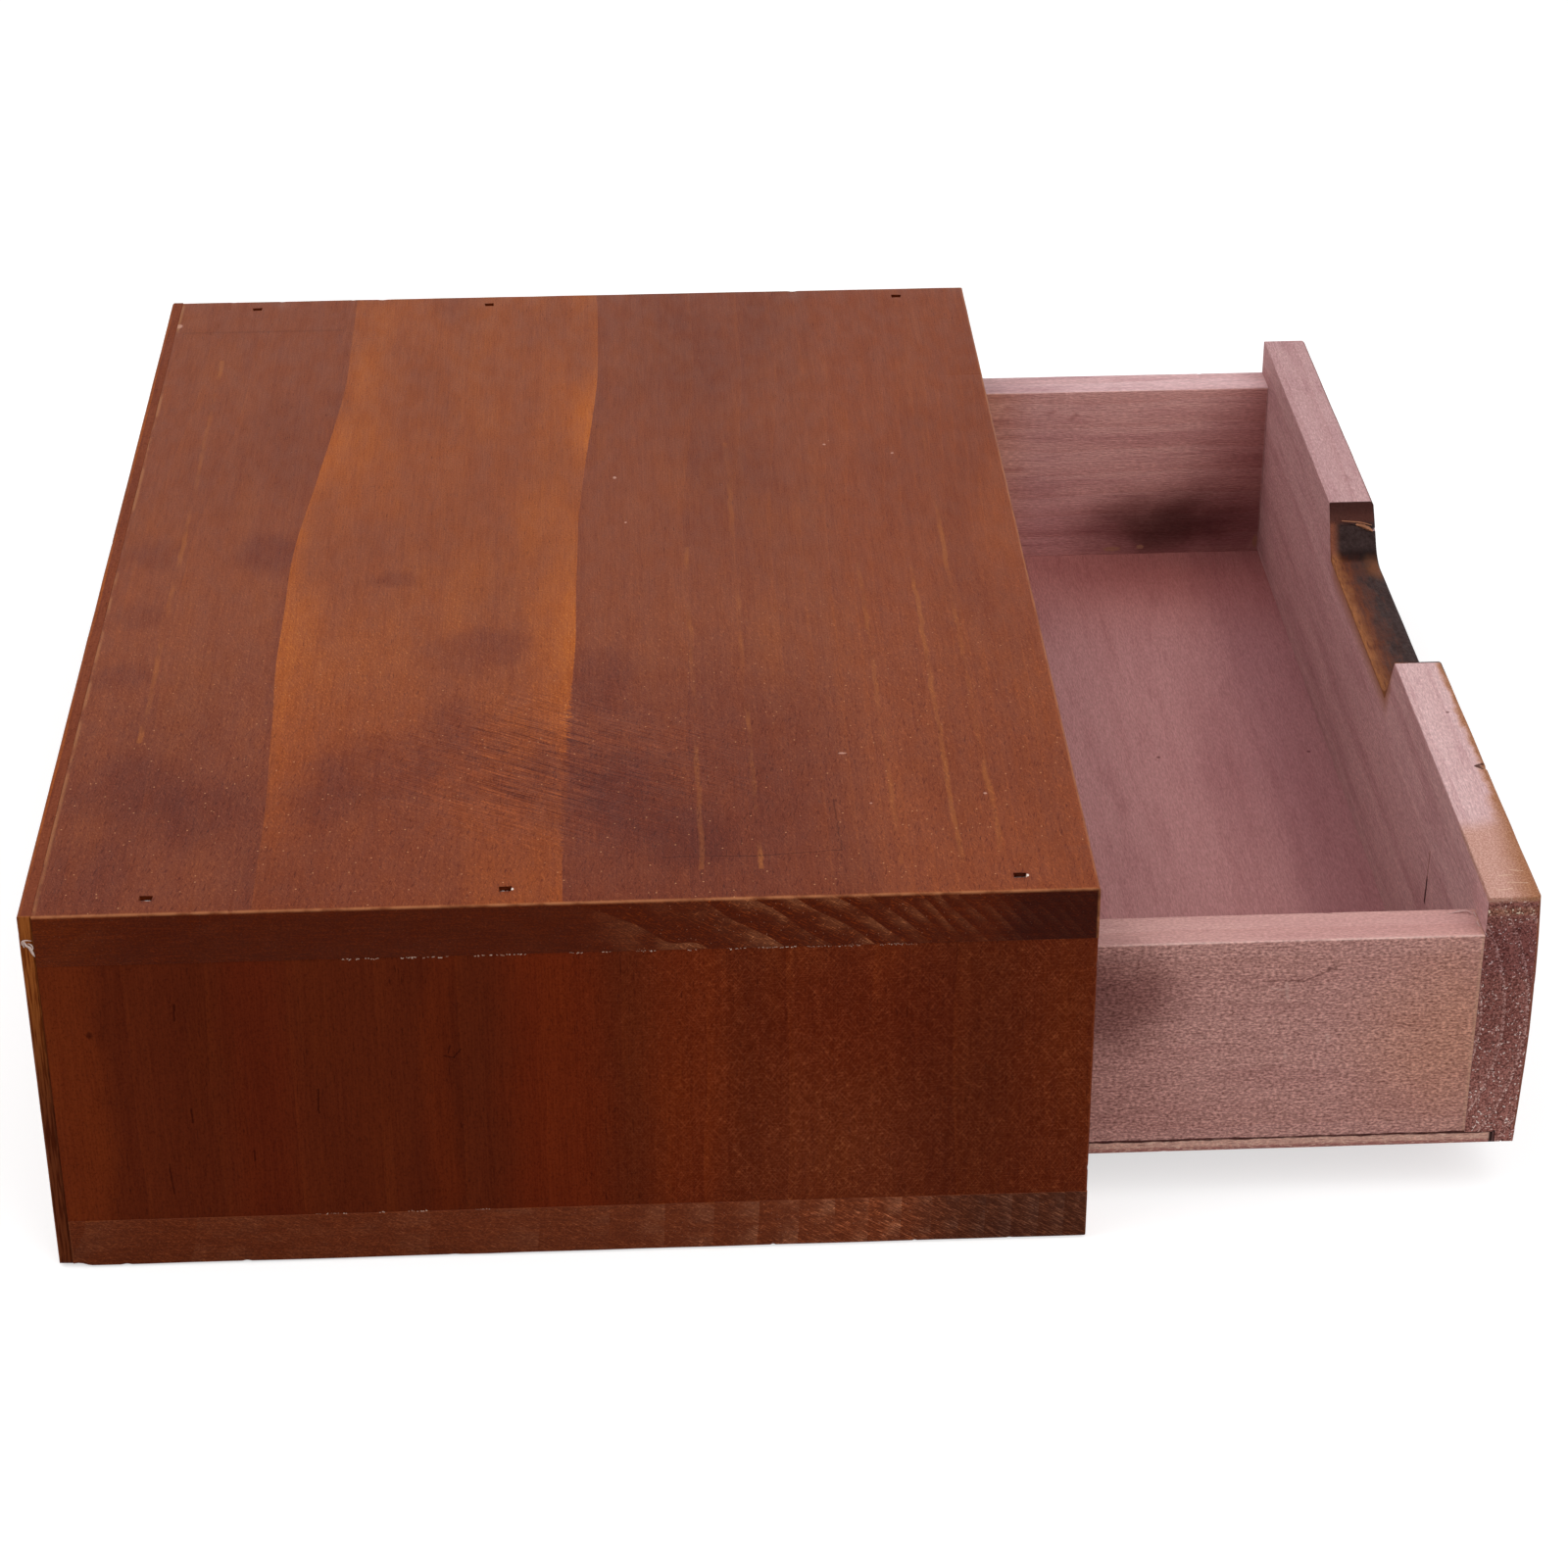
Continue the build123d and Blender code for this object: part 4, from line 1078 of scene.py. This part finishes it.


# Drawer sides
# Two bare boards, butted against the inner face of the front, with their upper arrises eased. The
# left one is cracked and chipped on its outer face, and the right one is darker in patches inside,
# one of them a painted shadow of the front.
DRAWER_EASE = 0.5
LEFT_SIDE_LIGHT = (0.388, 0.193, 0.168)
LEFT_SIDE_DARK = (0.334, 0.151, 0.127)
LEFT_SIDE_EDGE = (0.82, 0.58, 0.52)
LEFT_CRACKS = (                                    # on the outer face: y and z of both ends, width
    ((-147, 55.9), (-156, 55.6), 0.34), ((-156, 55.6), (-161.5, 58.2), 0.3),
    ((-161.3, 58.4), (-162.6, 58.6), 0.6), ((-120, 30), (-126, 29.5), 0.25), ((-133, 21), (-139, 20.5), 0.25),
    ((-170, 20), (-178, 19), 0.22), ((-176, 44), (-183, 43.5), 0.2), ((-140, 40), (-146, 39.6), 0.2),
)
LEFT_CHIPS = (                                     # the same, where pale wood shows
    ((-152.3, 55.2), (-152.9, 51.5), 0.6), ((-161.7, 41.8), (-162.3, 39.8), 0.5),
    ((-153, 37.6), (-153.4, 36.2), 0.5), ((-149.5, 54.3), (-151.5, 53.6), 0.4),
)

low, high = node_box("drawer_left_side")
rim = {"-x+z": DRAWER_EASE, "+x+z": DRAWER_EASE}
left_side = board("drawer_left_side", low, high, rim, nick_count=5, seed=16)
drill(left_side, 14, drawer_front_left_brads=FRONT, drawer_back_left_brads=LEFT, drawer_bottom_brads=DOWN)
wood = Finish("drawer_left_side_wood", "yzx")
outer = wood.between(wood.facing[0], -0.4, -0.8, 0.3, 1.1)
rings = growth(wood, pith=(40, low.x - 60), pace=(20.0, 0.16, 0.0), sway=4.0, seed=16.0)
bare(wood, rings, 16.0, LEFT_SIDE_LIGHT, LEFT_SIDE_DARK, streaks=0.4, grit=outer, fuzz_size=(0.8, 0.46, 0.46))
uneven = wood.wavy(4.0, 9.0, 17.0)
thin = wood.wavy(0.6, 2.5, 18.0)
wood.shade((1.45, 1.6, 1.7), wood.upward())
wood.shade((0.44, 0.34, 0.34), wood.spot((-114, 52, low.x), (22, 20, 9), 0.8, uneven), 0.9)
wood.shade((0.9, 0.86, 0.86), wood.spot((-120, 30, low.x), (18, 22, 9), 0.9, uneven))
wood.shade((1.01, 0.94, 0.78), wood.spot((-192, 40, low.x), (34, 34, 9), 0.9, uneven))
by_front = wood.between(wood.along, low.y + 1.0, low.y + 0.3)
wood.tint((0.6, 0.36, 0.24), by_front, 0.3)
for start, end, width in LEFT_CRACKS:
    wood.shade((0.36, 0.28, 0.28), wood.stroke((*start, low.x), (*end, low.x), width, thin), 0.6)
for start, end, width in LEFT_CHIPS:
    wood.tint((0.7, 0.48, 0.42), wood.stroke((*start, low.x), (*end, low.x), width, thin), 0.25)
# painted shade in the gap between the side's foot and the bottom sheet
shaded_gap = wood.total(wood.across, wood.mottled(0.3, 0.7, (5, 5, 5), 2.0, 19.0, first=-0.12, last=0.1))
wood.shade((0.15, 0.08, 0.08), wood.between(shaded_gap, low.z + 0.45, low.z + 0.22))
bare_ends(wood)
edge_wear_and_highlight(wood, low, high, "-y-z", LEFT_SIDE_EDGE, reach=0.5, strength=0.55)
put(left_side, "drawer", finish_bare(wood), "drawer_left_side")

fuzzy_wood = crumb_finish("lifted_splinters", patch=0.5, dark=(0.46, 0.27, 0.25), light=(0.72, 0.5, 0.47),
                          grit=0.3, rise=0.03, rough=0.75, shine=BARE_SHINE)
splinters = shavings("lifted_splinters", UP, [
    (0.4, 0.14, (-140.2, -187.5, high.z - 0.05), (-139.9, -189.0, high.z + 0.2),
     (-139.7, -190.4, high.z + 0.4), (-139.8, -191.8, high.z + 0.5), (-141.0, -192.6, high.z + 0.45)),
    (0.35, 0.3, (-139.4, -193.4, high.z - 0.1), (-140.5, -193.2, high.z + 0.3),
     (-142.0, -193.35, high.z + 0.1)),
    (0.3, 0.25, (-143.0, -193.4, high.z - 0.1), (-144.2, -193.1, high.z + 0.25),
     (-145.8, -193.4, high.z + 0.05)),
])
put(splinters, "drawer", fuzzy_wood)

RIGHT_SIDE_LIGHT = (0.625, 0.335, 0.303)
RIGHT_SIDE_DARK = (0.51, 0.224, 0.192)
# dark patches on the inner face; the first, next to the front, is a painted shadow of the front
RIGHT_DARK_PATCHES = (                                         # on the inner face: y and z, reach along both, tone
    ((-190, 50), (20, 30), (0.78, 0.68, 0.7)), ((-181, 26), (34, 15), (0.62, 0.54, 0.56)),
    ((-160, 24), (34, 14), (0.66, 0.58, 0.58)), ((-166, 25), (32, 16), (0.58, 0.56, 0.53)),
    ((-165, 23), (15, 8), (0.93, 1.0, 0.97)), ((-184, 30), (26, 24), (0.8, 0.74, 0.74)),
    ((-170, 20), (40, 13), (0.78, 0.7, 0.72)),
)
RIGHT_STAINS = (                                   # on the inner face: y and z, reach along both
    ((-152, 17.0), (3.2, 0.9)), ((-160, 17.4), (1.3, 0.8)), ((-192.8, 18.5), (0.9, 2.4)),
)
RIGHT_STREAKS = (                                  # on the inner face: y and z of both ends
    ((-110, 60), (-134, 59)), ((-118, 52), (-131, 54)), ((-112, 44), (-126, 42.5)), ((-136, 57), (-141, 58)),
)

low, high = node_box("drawer_right_side")
right_side = board("drawer_right_side", low, high, rim, nick_count=5, seed=19)
drill(right_side, 14, drawer_front_right_brads=FRONT, drawer_back_right_brads=RIGHT, drawer_bottom_brads=DOWN)
wood = Finish("drawer_right_side_wood", "yzx")
rings = growth(wood, pith=(120, low.x + 40), pace=(20.0, 0.16, 0.0), sway=6.0, seed=19.0)
bare(wood, rings, 19.0, RIGHT_SIDE_LIGHT, RIGHT_SIDE_DARK, streaks=0.9, grit=0.35)
inside = wood.between(wood.facing[0], -0.3, -0.8)
wood.shade((1.12, 1.34, 1.5), wood.upward())
wood.shade((0.98, 0.85, 0.66), inside, wood.between(wood.along, -132, -112))
wood.shade((0.84, 0.74, 0.78), inside, wood.between(wood.across, 40, 24))
uneven = wood.wavy(4.0, 11.0, 20.0)
# dark patches inside, the first a painted shadow of the front
for middle, reach, tone in RIGHT_DARK_PATCHES:
    wood.shade(tone, inside, wood.spot((*middle, low.x), (*reach, 9), 0.9, uneven))
for start, end in RIGHT_STREAKS:
    streak = wood.stroke((*start, low.x), (*end, low.x), 1.0, uneven)
    wood.shade((0.6, 0.42, 0.42), inside, streak, 0.4)
thin = wood.wavy(0.4, 1.0)
for middle, reach in RIGHT_STAINS:
    wood.tint((0.42, 0.2, 0.12), inside, wood.spot((*middle, low.x), (*reach, 9), 0.5, thin), 0.75)
bare_ends(wood)
edge_wear_and_highlight(wood, low, high, "-z", BARE_EDGE, reach=0.5, strength=0.4)
put(right_side, "drawer", finish_bare(wood), "drawer_right_side")


# Drawer back
# A bare board of the same wood as the sides, but shorter, with its upper arrises eased. It stands
# between the two sides, and small brads hold it through them.
BACK_LIGHT = (0.5, 0.27, 0.25)
BACK_DARK = (0.39, 0.18, 0.165)

low, high = node_box("drawer_back")
rear = board("drawer_back", low, high, {"-y+z": DRAWER_EASE, "+y+z": DRAWER_EASE}, nick_count=3, seed=51)
drill(rear, 17, drawer_back_left_brads=LEFT, drawer_back_right_brads=RIGHT, drawer_bottom_brads=DOWN)
wood = Finish("drawer_back_wood", "xzy")
rings = growth(wood, pith=(40, 60), pace=(20.0, 0.16, 0.0), sway=4.0, seed=22.0)
bare(wood, rings, 22.0, BACK_LIGHT, BACK_DARK)
bare_ends(wood)
edge_wear_and_highlight(wood, low, high, "-x+x-z", BARE_EDGE, reach=0.5, strength=0.4)
put(rear, "drawer", finish_bare(wood), "drawer_back")


# Drawer bottom
# A 3 mm sheet with a pink face, nailed up into the sides and back and into the front's rebate.
# Its sawn edge shows its plies and is ragged underneath.
RAGGED = 0.3                                       # how near its edge a point is to be moved
TORN_BELOW = 0.5                                   # how far up the edge its underside is torn
SHEET_LIGHT = (0.505, 0.238, 0.232)
SHEET_DARK = (0.42, 0.18, 0.18)

low, high = node_box("drawer_bottom")


def ragged_sheet(place):
    """Roughens the sheet's long sawn edges, always inwards."""
    x, y, z = place
    if abs(x) > high.x - RAGGED:
        rough = 0.16 + 0.16 * noise.noise(Vector((y * 0.6, z * 0.9, 7.0)))
        rough += 0.1 * noise.noise(Vector((y * 2.1, z, 3.0)))
        x -= math.copysign(max(0.0, rough - 0.12 * math.exp(-((y + 170) / 3) ** 2)), x)
        if z < low.z + TORN_BELOW:
            torn = 0.16 + 0.2 * noise.noise(Vector((y * 0.7, 1.0, 5.0)))
            z += max(0.0, torn + 0.1 * noise.noise(Vector((y * 2.3, 2.0, 5.0))))
    return x, y, z


edge_rows = [low.y + step for step in range(1, int(high.y - low.y))]   # one every millimetre
rim = {"-x-z": 0.45, "+x-z": 0.45, "-x+z": 0.3, "+x+z": 0.3}
floor_sheet = board("drawer_bottom", low, high, rim, nick_count=9, seed=61, pitch=12.0,
                    extra=((), edge_rows, (low.z + 1.0, low.z + 2.0)), shape=ragged_sheet)
drill(floor_sheet, 20, drawer_bottom_brads=DOWN)
wood = Finish("drawer_bottom_sheet")
rings = growth(wood, pith=(-150, -400), pace=(350.0, 0.05, 0.0), sway=6.0, seed=25.0)
bare(wood, rings, 25.0, SHEET_LIGHT, SHEET_DARK, streaks=0.5, grit=0.3)
uneven = wood.wavy(5.0, 20.0, 26.0)
upper = wood.between(wood.facing[2], 0.3, 0.8)
wood.shade((0.76, 0.7, 0.74), upper, wood.between(wood.across, -166, -182))
wood.shade((0.82, 0.76, 0.78), upper, wood.spot((15, -166, high.z), (80, 14, 9), 0.9, uneven))
wood.shade((0.82, 0.66, 0.61), upper, wood.between(wood.along, 70, 130))
wood.shade((0.78, 0.68, 0.68), upper, wood.spot((128, -160, high.z), (34, 34, 9), 0.9, uneven))
for x, y in ((20, -149.6), (21, -188.6)):
    wood.shade((0.45, 0.35, 0.35), wood.spot((x, y, high.z), (0.7, 0.7, 9), 0.5))
ply_height = wood.total(wood.through, wood.mottled(0.3, 0.7, (4, 4, 4), 2.0, 27.0, first=-0.12, last=0.12))
plies = wood.mix(wood.between(ply_height, low.z + 0.8, low.z + 1.4), (0.4, 0.17, 0.145), (0.6, 0.33, 0.265))
plies = wood.toned(plies, (1.35, 1.4, 1.35), wood.mottled(0.5, 0.66, (2, 0.8, 0.35), 3.0, 28.0))
dark_ply = wood.mottled(0.55, 0.7, (2, 3.2, 0.3), 2.0, 29.0)
plies = wood.mix(wood.product(dark_ply, 0.7), plies, (0.2, 0.08, 0.07))
pale_ply = wood.mottled(0.56, 0.66, (2, 1.4, 0.3), 3.0, 30.0)
plies = wood.mix(wood.product(pale_ply, 0.7), plies, (0.84, 0.56, 0.44))
# painted shade in the gaps: under the sides along the top of the sheet's edge, and nearly black at its front
# end by the front's rebate
shaded_gap = wood.product(wood.between(ply_height, high.z - 0.45, high.z - 0.22),
                   wood.mottled(0.35, 0.5, (9, 6, 9), 2.0, 31.0, first=0.6, last=1.0))
plies = wood.mix(shaded_gap, plies, (0.07, 0.025, 0.02))
plies = wood.mix(wood.between(wood.across, low.y + 1.0, low.y + 0.6), plies, (0.03, 0.012, 0.01))
wood.colour = wood.mix(wood.faces_along("x"), wood.colour, plies)
put(floor_sheet, "drawer", finish_bare(wood), "drawer_bottom")


# Brads
# Small steel brads with flat rectangular heads, sunk a little under the wood and dulled by stain.
# They are shown as they were packed, and stand in the holes that each board above was given.
steel = Finish("brad_steel")
steel.colour = steel.mix(steel.speckle((0.8, 0.8, 0.8), 2.0, 1.0), (0.4, 0.36, 0.33), (0.7, 0.68, 0.66))
steel.lift(0.5, steel.speckle((0.9, 0.9, 0.9), 2.0, 2.0))
steel.shader.inputs["Metallic"].default_value = 1.0
steel.done(steel.mottled(0.3, 0.7, (0.6, 0.6, 0.6), 1.0, 3.0, first=0.25, last=0.5), 0.5)
for name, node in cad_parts.items():
    if name.endswith("_brads"):
        for holder in node.material_slots:
            holder.material = steel.material


# Floor and light
# A pale floor that keeps the object's shadow, with three large soft lamps over it in an even white
# room. The floor and the room look white to the camera without lighting the object any more.
FLOOR_HALF = 4000.0
FLOOR_DROP = 0.3                                   # below the foot of the case
FLOOR_GREY = 0.6
GLOW = 0.62                                        # what the camera sees of the floor besides its light
ROOM_LIGHT = 0.25
LAMP_SIZE = 1.4                                    # side of each square lamp, in metres
LAMPS_AIM = (0, -0.05, 0.05)
LAMPS = (                                          # name, place in metres, watts
    ("lamp_left_front", (-0.75, -0.75, 1.0), 11.0),
    ("lamp_behind", (0.0, 0.9, 1.1), 9.0),
    ("lamp_above", (0.0, -0.05, 1.4), 4.0),
)

corners = [(x * FLOOR_HALF, y * FLOOR_HALF, -FLOOR_DROP) for x, y in ((-1, -1), (1, -1), (1, 1), (-1, 1))]
floor = new_piece("floor", corners, [(0, 1, 2, 3)])


def seen_level(tree, plain, shown, socket):
    """Sets a strength to shown for the rays that look at the background, and to plain for the others."""
    rays = tree.nodes.new("ShaderNodeLightPath")
    total = rays.outputs["Is Camera Ray"]
    for kind in ("Is Glossy Ray", "Is Transmission Ray"):
        either = tree.nodes.new("ShaderNodeMath")
        either.operation = "MAXIMUM"
        tree.links.new(total, either.inputs[0])
        tree.links.new(rays.outputs[kind], either.inputs[1])
        total = either.outputs[0]
    level = tree.nodes.new("ShaderNodeMapRange")
    level.inputs["To Min"].default_value = plain
    level.inputs["To Max"].default_value = shown
    tree.links.new(total, level.inputs["Value"])
    tree.links.new(level.outputs[0], socket)


pale = bpy.data.materials.new("pale_floor")
pale.use_nodes = True
tree = pale.node_tree
tree.nodes.clear()
output = tree.nodes.new("ShaderNodeOutputMaterial")
matt = tree.nodes.new("ShaderNodeBsdfDiffuse")
matt.inputs["Color"].default_value = (FLOOR_GREY, FLOOR_GREY, FLOOR_GREY, 1.0)
glow = tree.nodes.new("ShaderNodeEmission")
both = tree.nodes.new("ShaderNodeAddShader")
seen_level(tree, 0.0, GLOW, glow.inputs["Strength"])
tree.links.new(matt.outputs[0], both.inputs[0])
tree.links.new(glow.outputs[0], both.inputs[1])
tree.links.new(both.outputs[0], output.inputs["Surface"])
floor.data.materials.append(pale)

room = bpy.data.worlds.new("room")
bpy.context.scene.world = room
room.use_nodes = True
backdrop = room.node_tree.nodes["Background"]
backdrop.inputs["Color"].default_value = (1, 1, 1, 1)
seen_level(room.node_tree, ROOM_LIGHT, 1.0, backdrop.inputs["Strength"])

for name, place, watts in LAMPS:
    lamp_data = bpy.data.lights.new(name, "AREA")
    lamp_data.shape = "SQUARE"
    lamp_data.size = LAMP_SIZE
    lamp_data.energy = watts
    lamp = bpy.data.objects.new(name, lamp_data)
    lamp.location = place
    lamp.rotation_euler = (Vector(place) - Vector(LAMPS_AIM)).to_track_quat("Z", "Y").to_euler()
    bpy.context.scene.collection.objects.link(lamp)
